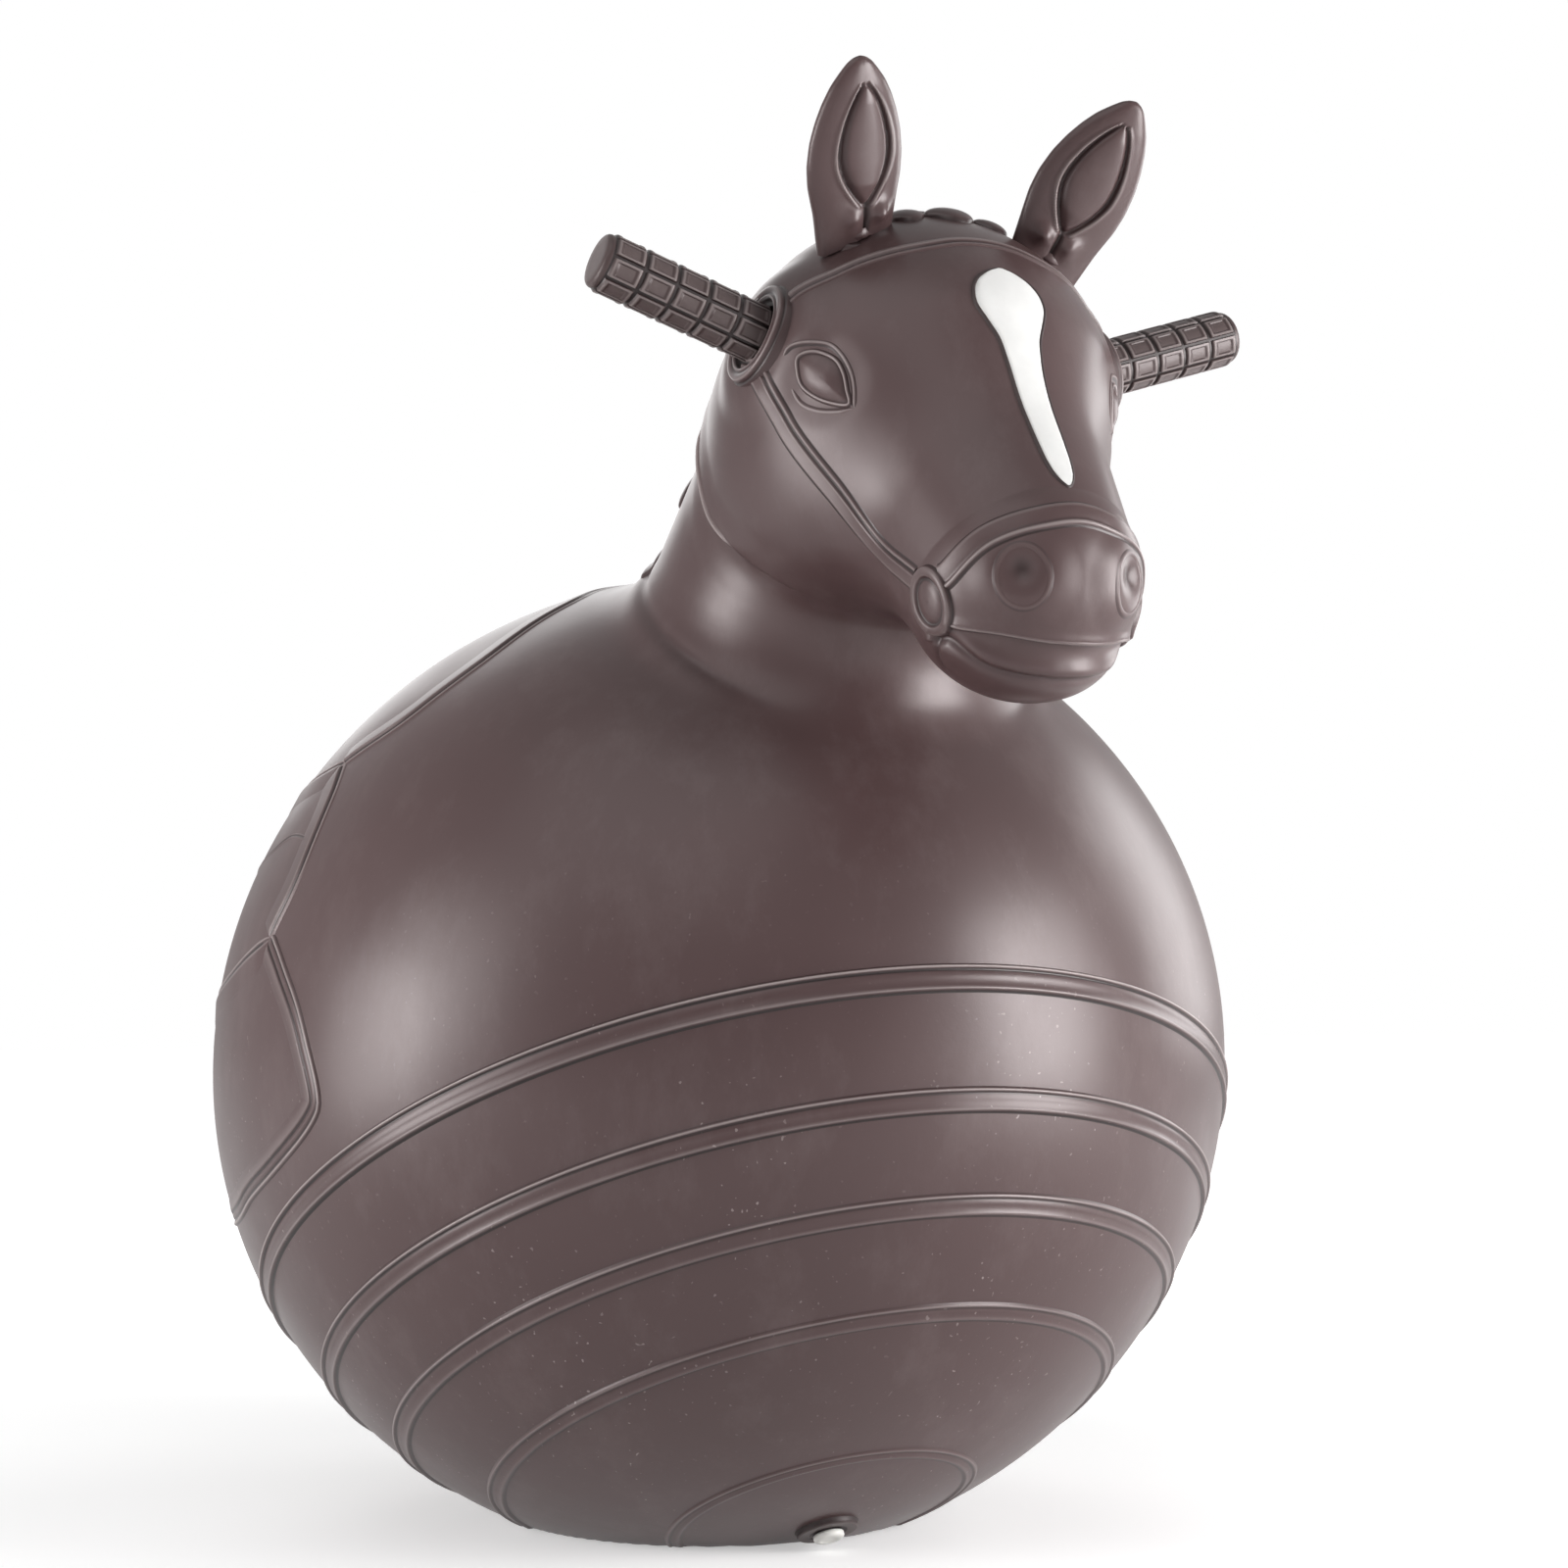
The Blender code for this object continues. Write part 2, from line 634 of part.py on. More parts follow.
def oval(place, wide, tall, side, n=12):
    """A loop round a place on the face, upright as the skin allows."""
    middle = on_face([place], side)
    up = steepest(middle)[0]
    high = np.array([0.0, 0.0, 1.0]) - up * up[2]
    high = high / np.linalg.norm(high)
    flat = np.cross(up, high)
    turn = TAU * np.arange(n)[:, None] / n
    return settled(middle + wide * np.cos(turn) * flat + tall * np.sin(turn) * high)


def band(name, line, half, rise):
    """A flat strap along points on the skin, rooted in it."""
    run = np.gradient(line, axis=0)
    up = steepest(line)
    across = np.cross(up, run)
    across = across / np.linalg.norm(across, axis=1)[:, None]
    left = settled(line - across * half)
    right = settled(line + across * half)
    over = steepest(left) * rise
    under = steepest(left) * ROOT
    over_right = steepest(right) * rise
    under_right = steepest(right) * ROOT
    rows = np.stack([left - under, left + over, right + over_right, right - under_right], 1)
    return lofted(name, list(rows), rows[0].mean(axis=0), rows[-1].mean(axis=0))


def curve(points, pieces=3):
    """A smooth line through points, with some pieces between each two."""
    p = np.array(points)
    ring = np.concatenate([2.0 * p[:1] - p[1:2], p, 2.0 * p[-1:] - p[-2:-1]])
    out = []
    for a, b, c, d in zip(ring, ring[1:], ring[2:], ring[3:]):
        for t in np.arange(pieces) / pieces:
            out.append(0.5 * (2.0 * b + (c - a) * t + (2.0 * a - 5.0 * b + 4.0 * c - d) * t * t
                              + (3.0 * b - a - 3.0 * c + d) * t ** 3))
    return np.array(out + [p[-1]])


def across_face(points):
    """A line that ends in the middle plane, carried on to the other side."""
    p = np.array(points)
    return np.concatenate([p, p[-2::-1] * np.array([-1.0, 1.0, 1.0])])


def blaze(name):
    """White film on the face: broad and round at the top, running down to a slim tip."""
    outline = ((0.00, 0.28), (0.03, 0.62), (0.09, 0.93), (0.16, 1.00), (0.23, 0.81), (0.31, 0.58),
               (0.45, 0.48), (0.60, 0.45), (0.75, 0.40), (0.88, 0.35), (0.96, 0.25), (1.00, 0.10))
    top = HEAD + point(-BLAZE_TOP_AHEAD, BLAZE_TOP_RISE)
    tip = HEAD + point(-BLAZE_TIP_AHEAD, -BLAZE_TIP_DROP)
    across = (-1.0, -0.5, 0.0, 0.5, 1.0)
    verts = []
    for s, wide in outline:
        row = np.repeat((top + (tip - top) * s)[None], len(across), axis=0)
        row[:, 0] = np.array(across) * wide * BLAZE_HALF_WIDTH
        row = settled(row)
        verts.extend(row + steepest(row) * GAP)
    n = len(across)
    faces = []
    for k in range(len(outline) - 1):
        for j in range(n - 1):
            a = k * n + j
            faces.append((a, a + n, a + n + 1, a + 1))
    film = mesh_object(name, verts, faces)
    solid = film.modifiers.new("film", "SOLIDIFY")
    solid.thickness = BLAZE_FILM
    solid.offset = 1.0
    return film


POLE = BALL - AXIS * BALL_HALF_HEIGHT
ROOT = 2.8 * SKIN              # how deep moulded relief is rooted

SKIN_PVC = vinyl("skin", (0.100, 0.070, 0.070), 0.42)
EAR_PVC = vinyl("ear", (0.100, 0.070, 0.070), 0.42)
GRIP_PVC = vinyl("grip", (0.088, 0.060, 0.060), 0.46)
CORE_PVC = vinyl("core", (0.075, 0.052, 0.052), 0.50)
WHITE_FILM = vinyl("white_film", (0.92, 0.92, 0.91), 0.42)
VALVE_PVC = vinyl("valve_ring", (0.050, 0.034, 0.034), 0.50)
PLUG_PVC = vinyl("plug", (0.88, 0.88, 0.85), 0.36)

horse = body("horse")

# The ball, open at the neck's seam and at the valve
ball = ball_solid("body_skin")
combine(ball, [ball_hollow("room")], "DIFFERENCE")
away = seam_height() - GAP
beyond = 2.0 * BALL_RADIUS
cap = turned("cap", ((0.0, away), (BALL_RADIUS, away), (BALL_RADIUS, beyond), (0.0, beyond)))
bore = turned("bore", ((0.0, -0.02), (VALVE_BORE, -0.02), (VALVE_BORE, 0.02), (0.0, 0.02)))
combine(ball, [tool_at(cap, BALL, UP_NECK), tool_at(bore, POLE, -AXIS)], "DIFFERENCE")
dress(ball, horse, SKIN_PVC)

# The head with what is moulded on it: the bridle's straps and rosettes, eyes, nostrils and a plaited mane
# from the poll down the back of the neck
skin = head_solid("head_skin")
straps = []
pads = []
for side in (-1.0, 1.0):
    down_cheek = on_face(curve(CHEEK_STRAP, 2), side)
    straps.append(band("cheek_strap", down_cheek, STRAP_HALF_WIDTH, STRAP_RISE))
    # eyeball inside a raised lid, nostril pad with a pit, rosette with a sunken middle
    lids = ((1.0, 0.0004), (0.93, 0.0016), (0.80, 0.0016), (0.72, 0.0009), (0.45, 0.8 * EYE_BULGE))
    pads.append(pad("eye", on_face(EYE_RIM, side), lids, EYE_BULGE))
    flare = ((1.0, 0.0004), (0.86, 0.9 * NOSTRIL_RISE), (0.66, NOSTRIL_RISE), (0.30, 0.0016))
    pads.append(pad("nostril", oval(NOSTRIL, NOSTRIL_RADIUS, NOSTRIL_RADIUS, side), flare, 0.0012))
    rings = ((1.0, 0.8 * ROSETTE_RISE), (0.86, ROSETTE_RISE), (0.68, ROSETTE_RISE), (0.58, 0.0012))
    loop = oval(ROSETTE, ROSETTE_HALF_WIDTH, ROSETTE_HALF_HEIGHT, side)
    pads.append(pad("rosette", loop, rings, 0.0014))
over_nose = on_face(curve(across_face(NOSEBAND), 2), -1.0)
over_brow = on_face(curve(across_face(BROWBAND), 2), -1.0)
straps.append(band("noseband", over_nose, STRAP_HALF_WIDTH, STRAP_RISE))
straps.append(band("browband", over_brow, BROW_HALF_WIDTH, STRAP_RISE))
for place, way in mane_places():
    pads.append(knot("knot", surface_from(place, way), way))
combine(skin, straps, "UNION")
combine(skin, pads, "UNION")

# Hollowed, then given collars and socket tubes for the handles and seats and tubes for the ears
combine(skin, [head_hollow("room")], "DIFFERENCE")
bosses = []
hollows = []
for side in (-1.0, 1.0):
    foot, axis = handle_place(side)
    tube = CORE_RADIUS + 0.0030
    end = SOCKET_DEPTH + 0.0030
    boss = turned("boss", ((0.0, -end), (tube, -end), (tube, -0.0140), (COLLAR_RADIUS, -0.0060),
                           (COLLAR_RADIUS, COLLAR_RISE - 0.0020), (COLLAR_RADIUS - 0.0020, COLLAR_RISE),
                           (0.0, COLLAR_RISE)))
    bosses.append(tool_at(boss, foot, axis))
    bore = CORE_RADIUS + GAP
    dish = COLLAR_RADIUS - 0.0055
    floor = COLLAR_RISE - 0.0040
    clear = COLLAR_RISE + 0.0040
    socket = turned("socket", ((0.0, -SOCKET_DEPTH), (bore, -SOCKET_DEPTH), (bore, floor), (dish, floor),
                               (dish, clear), (0.0, clear)))
    hollows.append(tool_at(socket, foot, axis))
    foot, axis = ear_place(side)
    tube = EAR_STEM_RADIUS + 0.0028
    depth = EAR_STEM_LENGTH + GAP
    seat = turned("seat", ((0.0, -depth - 0.0025), (tube, -depth - 0.0025), (tube, -0.0120),
                           (EAR_SEAT_RADIUS, -0.0060), (EAR_SEAT_RADIUS, EAR_SEAT_RISE - 0.0010),
                           (EAR_SEAT_RADIUS - 0.0010, EAR_SEAT_RISE), (0.0, EAR_SEAT_RISE)))
    bosses.append(tool_at(seat, foot, axis))
    bore = EAR_STEM_RADIUS + GAP
    hole = turned("hole", ((0.0, EAR_SEAT_RISE - depth), (bore, EAR_SEAT_RISE - depth),
                           (bore, EAR_SEAT_RISE + 0.0040), (0.0, EAR_SEAT_RISE + 0.0040)))
    hollows.append(tool_at(hole, foot, axis))
combine(skin, bosses, "UNION")
combine(skin, hollows, "DIFFERENCE")
dress(skin, horse, SKIN_PVC)

for side, word in ((1.0, "left"), (-1.0, "right")):
    handle = body(word + "_handle", *handle_place(side))
    start = COLLAR_RISE - 0.0040 + GAP
    top = start + GRIP_LENGTH - 0.0030 - GAP
    low = -SOCKET_DEPTH + GAP
    edge = CORE_RADIUS - 0.0010
    core = turned("handle_core_" + word, ((0.0, low), (edge, low), (CORE_RADIUS, low + 0.0017),
                                          (CORE_RADIUS, top - 0.0010), (edge, top), (0.0, top)))
    dress(core, handle, CORE_PVC)
    dress(grip_sleeve("grip_sleeve_" + word), handle, GRIP_PVC)
    dress(ear("ear_" + word), body(word + "_ear", *ear_place(side)), EAR_PVC)

dress(blaze("forehead_blaze"), horse, WHITE_FILM)

valve = body("valve", POLE, -AXIS)
lip = VALVE_RING_HEIGHT
ring = turned("valve_seat", ((PLUG_STEM_RADIUS + GAP, lip), (VALVE_RING_RADIUS - 0.0005, lip),
                             (VALVE_RING_RADIUS, lip - 0.0007), (VALVE_RING_RADIUS, GAP),
                             (VALVE_BORE - GAP, GAP), (VALVE_BORE - GAP, -VALVE_SLEEVE_DEPTH),
                             (PLUG_STEM_RADIUS + GAP, -VALVE_SLEEVE_DEPTH)))
dress(ring, valve, VALVE_PVC)
foot = lip - PLUG_STEM_LENGTH
plug = turned("valve_plug", ((0.0, lip + 0.0035), (PLUG_RADIUS - 0.0015, lip + 0.0035),
                             (PLUG_RADIUS, lip + 0.0023), (PLUG_RADIUS, lip + GAP),
                             (PLUG_STEM_RADIUS, lip + GAP), (PLUG_STEM_RADIUS, foot),
                             (PLUG_STEM_RADIUS - 0.0010, foot - 0.0015),
                             (0.0, foot - 0.0015)))
dress(plug, body("plug", POLE, -AXIS), PLUG_PVC)
bpy.context.view_layer.update()
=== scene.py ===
"""Looks of the inflatable ride-on horse: the moulded skin with its bridle, face, ribs and saddle lines,
waffle grips in their collars, leaf ears, white blaze and air valve, in satin brown PVC on a pale floor.

Metres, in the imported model's frame: +Z up, the horse faces -Y and its left side is +X.
"""

from math import atan2, cos, pi, radians, sin, sqrt

import bpy
import numpy as np
from mathutils import Matrix


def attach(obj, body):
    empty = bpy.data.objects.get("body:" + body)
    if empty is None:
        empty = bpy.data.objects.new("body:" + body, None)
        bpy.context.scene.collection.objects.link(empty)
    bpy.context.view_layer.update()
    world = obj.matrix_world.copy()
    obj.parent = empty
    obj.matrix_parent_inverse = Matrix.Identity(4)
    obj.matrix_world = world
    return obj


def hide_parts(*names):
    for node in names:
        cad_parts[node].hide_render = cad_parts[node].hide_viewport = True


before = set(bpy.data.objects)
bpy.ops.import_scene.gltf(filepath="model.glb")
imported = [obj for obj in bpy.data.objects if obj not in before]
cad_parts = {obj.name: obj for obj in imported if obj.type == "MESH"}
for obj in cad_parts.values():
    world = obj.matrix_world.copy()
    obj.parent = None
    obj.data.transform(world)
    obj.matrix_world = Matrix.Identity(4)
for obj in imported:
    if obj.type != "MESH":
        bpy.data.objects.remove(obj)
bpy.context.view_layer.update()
TAU = 2.0 * pi
MM = 0.001
SLOPE_STEP = 2e-4

# Ball, neck and head: the same form as the CAD solids
BALL_RADIUS = 0.260
BALL_HALF_HEIGHT = 0.249
BALL_LEAN = radians(28.7)
FLOOR_SINK = 0.0225
NECK_FILLET = 0.022
# ribs: place along the ball's half height, width and height in mm, and the strength of their edges' painted
# shade and highlights; the two lowest are slimmer than the solids'
RIBS = ((-0.338, 11.0, 2.0, 1.4), (-0.529, 10.0, 1.8, 1.1), (-0.677, 9.5, 1.5, 0.9),
        (-0.813, 8.2, 1.3, 0.6), (-0.96, 6.4, 0.9, 0.5))

# Handles, ears and valve
GRIP_RADIUS = 0.0138
GRIP_GROOVE = 0.0014
GRIP_LENGTH = 0.082
GRIP_ROWS = 5
GRIP_ROUND = 8
GRIP_START = -0.0002
CORE_RADIUS = 0.0095
HANDLE_SLOPE = radians(18.0)
EAR_LENGTH = 0.080
EAR_HALF_WIDTH = 0.0243
EAR_THICKNESS = 0.015
EAR_SEAT = 0.0023
VALVE_RING = 0.0150
PLUG_RADIUS = 0.0075

# Camera, fitted to the photograph's 1600 x 1600 frame
CAMERA_PLACE = (-0.60737, -1.30231, 0.27354)
CAMERA_TURN = radians(26.3)
CAMERA_PITCH = radians(4.0)
CAMERA_LENS = 62.93


def point(y, z):
    """A place or direction in the middle plane."""
    return np.array([0.0, y, z])


def unit(v):
    return v / np.linalg.norm(v)


AXIS = point(sin(BALL_LEAN), cos(BALL_LEAN))
REACH = sqrt((BALL_RADIUS * sin(BALL_LEAN)) ** 2 + (BALL_HALF_HEIGHT * cos(BALL_LEAN)) ** 2)
BALL = point(0.0, REACH - FLOOR_SINK)
POLE = BALL - AXIS * BALL_HALF_HEIGHT
BEARING = radians(34.5)
HEAD = BALL + (BALL_RADIUS + 0.118) * point(-sin(BEARING), cos(BEARING))
NECK_ROOT = HEAD + point(0.136, -0.175)
NECK_TOP = HEAD + point(0.046, -0.017)
MUZZLE_ROOT = HEAD + point(-0.022, -0.023)
MUZZLE_TIP = HEAD + point(-0.089, -0.098)
JOWL = HEAD + point(0.018, -0.035)
CHIN = HEAD + point(-0.086, -0.116)
THROAT = HEAD + point(-0.024, -0.132)
UP_NECK = unit(NECK_TOP - NECK_ROOT)
NECK_FRONT = point(-UP_NECK[2], UP_NECK[1])
ACROSS = np.array([1.0, 0.0, 0.0])
FORWARD = point(-1.0, 0.0)
UP = point(0.0, 1.0)


# The form

def blend(a, b, width):
    h = np.clip(0.5 + 0.5 * (b - a) / width, 0.0, 1.0)
    return b + (a - b) * h - width * h * (1.0 - h)


def egg(p, middle, half, lean):
    d = p - middle
    up = point(-sin(lean), cos(lean))
    front = point(-cos(lean), -sin(lean))
    q = np.stack([d[..., 0], d @ front, d @ up], -1)
    half = np.array(half)
    near = np.linalg.norm(q / half, axis=-1)
    slope = np.linalg.norm(q / (half * half), axis=-1) + 1e-9
    return near * (near - 1.0) / slope


def taper(p, a, b, ra, rb):
    d = p - a
    run = np.linalg.norm(b - a)
    u = (b - a) / run
    t = np.clip((d @ u) / run, 0.0, 1.0)
    return np.linalg.norm(d - (t * run)[..., None] * u, axis=-1) - (ra + (rb - ra) * t)


def ball_form(p):
    return egg(p, BALL, (BALL_RADIUS, BALL_RADIUS, BALL_HALF_HEIGHT), -BALL_LEAN)


def head_form(p):
    f = taper(p, NECK_ROOT, NECK_TOP, 0.106, 0.074)
    f = blend(f, egg(p, HEAD, (0.089, 0.080, 0.080), radians(25.0)), 0.030)
    side = p.copy()
    side[..., 0] = np.abs(side[..., 0]) - 0.0383
    f = blend(f, egg(side, JOWL, (0.048, 0.070, 0.060), radians(30.0)), 0.020)
    f = blend(f, taper(p, MUZZLE_ROOT, MUZZLE_TIP, 0.067, 0.051), 0.030)
    return blend(f, egg(p, CHIN, (0.0408, 0.039, 0.025), radians(45.0)), 0.012)


def skin_form(p):
    return blend(ball_form(p), head_form(p), NECK_FILLET)


def steepest(p):
    """The skin's outward direction at each point."""
    n = np.stack([skin_form(p + d) - skin_form(p - d) for d in np.eye(3) * SLOPE_STEP], -1)
    return n / np.linalg.norm(n, axis=-1)[..., None]


def settled(p):
    """The points moved on to the skin."""
    for _ in range(4):
        p = p - steepest(p) * skin_form(p)[..., None]
    return p


def cast(starts, ways, far=0.62, steps=48):
    """Where each ray first leaves the skin."""
    ts = np.linspace(0.0, far, steps)
    first = np.full(len(ways), steps - 1)
    for k in range(steps - 1, 0, -1):
        first[skin_form(starts + ways * ts[k]) > 0.0] = k
    lo = ts[first - 1]
    hi = ts[first]
    for _ in range(20):
        mid = 0.5 * (lo + hi)
        inside = skin_form(starts + ways * mid[:, None]) < 0.0
        lo = np.where(inside, mid, lo)
        hi = np.where(inside, hi, mid)
    return starts + ways * (0.5 * (lo + hi))[:, None]


# Lines drawn on the skin, set out from the skull's middle on the horse's right side

EYE_RIM = ((-80, -38, 1), (-76.5, -44.5, 2.5), (-71.5, -52, -1.5), (-69, -55.5, -8), (-68, -57, -16),
           (-67, -57.5, -22), (-71.5, -51.5, -21), (-76.5, -44.5, -17.5), (-79.5, -38.5, -12),
           (-80.5, -37, -4.5))
EYE_LID = ((-83, -31, 2), (-81, -34.5, 5.5), (-77.5, -41.5, 6.5), (-72.5, -49.5, 5), (-69.5, -54.5, 0),
           (-67, -58, -7.5), (-66, -59.5, -15), (-65.5, -59.5, -24))
EYE_UNDER = ((-65.5, -59.5, -24), (-70.5, -52.5, -24.5), (-76, -44, -23), (-80, -37, -19),
             (-82, -33.5, -12))
CHEEK_STRAP = ((-86, -4, 1), (-87, -17, -5), (-82, -30, -31), (-68, -45, -57), (-54.5, -60, -82),
               (-49.5, -86, -100.5))
NOSEBAND = ((-46.5, -103, -101.8), (-46, -107.5, -100), (-36.5, -121, -87), (-16.5, -132, -79),
            (0, -135, -76))
BROWBAND = ((-80, -22, 24), (-78, -27, 28), (-61, -42, 41), (-32, -56, 51), (-14, -58, 55),
            (0, -58.5, 56))
MOUTH = ((-45, -97, -119), (-43, -101.5, -121), (-40, -106, -123), (-28, -119.5, -126.5),
         (-8.5, -127, -129.5), (0, -128, -130))
LOWER_LIP = ((-42, -92, -126), (-40.5, -99, -127.5), (-26.5, -108, -137.5), (-9, -114.5, -141.5),
             (0, -115, -142))
LIP_CREASE = ((-46, -93, -121), (-42.5, -91, -127), (-38.5, -85, -133.5), (-30, -80, -140))
JAW = ((-79, 68, -8), (-82, 63, -24), (-84, 55.5, -39), (-83.5, 50, -52), (-82.5, 44.5, -60.5),
       (-76.5, 27.5, -77), (-63.5, 11.5, -91.5), (-50, 4, -100))
ROSETTE = (-48.0, -96.0, -111.0)
NOSTRIL = (-25.0, -131.0, -103.5)

# Saddle lines on the ball's right side, set out from the ball's centre
POMMEL = ((0, 18, 248), (-40, 8, 244), (-75, -16, 238), (-96, -36, 232), (-116, -47, 221),
          (-151, -59, 198), (-179, -54, 176), (-195, -43, 162), (-210, -17, 147))
CANTLE = ((-210, -17, 147), (-220, -31, 131), (-232, -39, 108), (-241, -40, 86), (-250, -31, 62))
FLAP = ((-250, -31, 62), (-251, -49, 49), (-249, -69, 29), (-247, -82, 6), (-244.5, -87, -10),
        (-245, -84, -18), (-248, -69, -30), (-252, -42, -45), (-253, -11, -58), (-250, 18, -69),
        (-242, 55, -76))
SEAT = ((-210, -17, 147), (-213, 10, 143), (-211, 47, 138), (-198, 95, 130), (-160, 150, 130),
        (-92, 190, 140), (0, 205, 144))
SEAT_FOLD = ((-232, -39, 108), (-233, -6, 112), (-234, 28, 104), (-226, 75, 96), (-205, 125, 94))
PANEL = ((-250, -31, 62), (-254, -9, 54), (-255, 22, 43), (-250, 60, 34), (-236, 105, 26),
         (-208, 155, 22))


def swapped(p):
    """The same place on the horse's other side."""
    return p * np.array([-1.0, 1.0, 1.0])


def both_ways(line):
    """A line and its mirror image, run backwards so that the same edge stays outside."""
    return line, swapped(line)[::-1]


def mirrored(line):
    """A line that ends in the middle plane, carried on to the other side."""
    return np.concatenate([line, swapped(line[-2::-1])])


def run_of(line):
    """How far along a line each of its points is."""
    return np.concatenate([[0.0], np.cumsum(np.linalg.norm(np.diff(line, axis=0), axis=1))])


def spline(points, step, closed=False):
    """Even points on a smooth curve through the control points."""
    p = np.asarray(points, float)
    if closed:
        ring = np.concatenate([p[-1:], p, p[:2]])
    else:
        ring = np.concatenate([2 * p[:1] - p[1:2], p, 2 * p[-1:] - p[-2:-1]])
    out = []
    for a, b, c, d in zip(ring, ring[1:], ring[2:], ring[3:]):
        for t in np.linspace(0.0, 1.0, 40, endpoint=False):
            out.append(0.5 * (2 * b + (c - a) * t + (2 * a - 5 * b + 4 * c - d) * t * t
                              + (3 * b - a - 3 * c + d) * t ** 3))
    if not closed:
        out.append(p[-1])
    out = np.array(out)
    if closed:
        out = np.concatenate([out, out[:1]])
    run = run_of(out)
    count = max(8, int(run[-1] / step))
    marks = np.linspace(0.0, run[-1], count, endpoint=not closed)
    return np.stack([np.interp(marks, run, out[:, k]) for k in range(3)], 1)


def on_head(points, closed=False, both=False, step=1.2 * MM):
    line = np.array(points) * MM + HEAD
    line = mirrored(line) if both else line
    return settled(spline(line, step, closed))


def on_ball(points):
    return settled(spline(np.array(points) * MM + BALL, 2.5 * MM))


def handle_place(side):
    axis = np.array([side * cos(HANDLE_SLOPE), 0.0, sin(HANDLE_SLOPE)])
    return cast((HEAD + point(-0.009, -0.012))[None], axis[None])[0], axis


def ear_place(side):
    way = unit(np.array([side * 0.051, -0.030, 0.0625]))
    return cast(HEAD[None], way[None])[0], unit(np.array([side * 0.26, -0.56, 0.79]))


def oval_frame(middle):
    """Unit vectors across and up, along the skin at a point."""
    out = steepest(middle[None])[0]
    tall = point(0.15, 1.0)
    tall = unit(tall - out * (tall @ out))
    return np.cross(out, tall), tall


def oval(middle, wide, tall, n):
    """A closed loop on the skin, half sizes in mm."""
    across, up = oval_frame(middle)
    a = TAU * np.arange(n)[:, None] / n
    return settled(middle + MM * (wide * np.sin(a) * across + tall * np.cos(a) * up))


def past_middle(points):
    """The right half of a line across the head and a little more, so that it has no end in the middle."""
    line = on_head(points, both=True)
    return line[: len(line) // 2 + 8]


MOUTH_LINE = past_middle(MOUTH)
LIP_LINE = past_middle(LOWER_LIP)
JAW_LINE = on_head(JAW)
CREASE_LINE = on_head(LIP_CREASE)
NOSTRIL_MID, ROSETTE_MID = settled(np.array([NOSTRIL, ROSETTE]) * MM + HEAD)
EYE_MID = on_head(EYE_RIM, closed=True).mean(axis=0)
NOSTRIL_UP = oval_frame(NOSTRIL_MID)[1]
COLLAR_FOOT, COLLAR_AXIS = handle_place(-1.0)


def bell(x, width):
    return np.exp(-(x / width) ** 2)


def ramp(x, a, b):
    t = np.clip((x - a) / (b - a), 0.0, 1.0)
    return t * t * (3.0 - 2.0 * t)


def beside(p, line):
    """Distance from a line, positive below or behind it, and the nearest share of the line's run."""
    run = np.gradient(line, axis=0)[::2]
    run = run / np.linalg.norm(run, axis=1)[:, None]
    way = np.cross(run, steepest(line[::2]))
    gap = p[:, None, :] - line[None, ::2, :]
    far = np.linalg.norm(gap, axis=2)
    k = np.argmin(far, axis=1)
    last = len(run) - 1
    gap = gap[np.arange(len(p)), k]
    along = np.sum(gap * run[k], axis=1)
    along = np.where((k == 0) & (along < 0.0) | (k == last) & (along > 0.0), 0.0, along)
    near = np.sqrt(np.maximum(np.sum(gap * gap, axis=1) - along * along, 0.0))
    sign = np.where(np.sum(gap * way[k], axis=1) < 0.0, -1.0, 1.0)
    return near * sign, k / max(1, last)


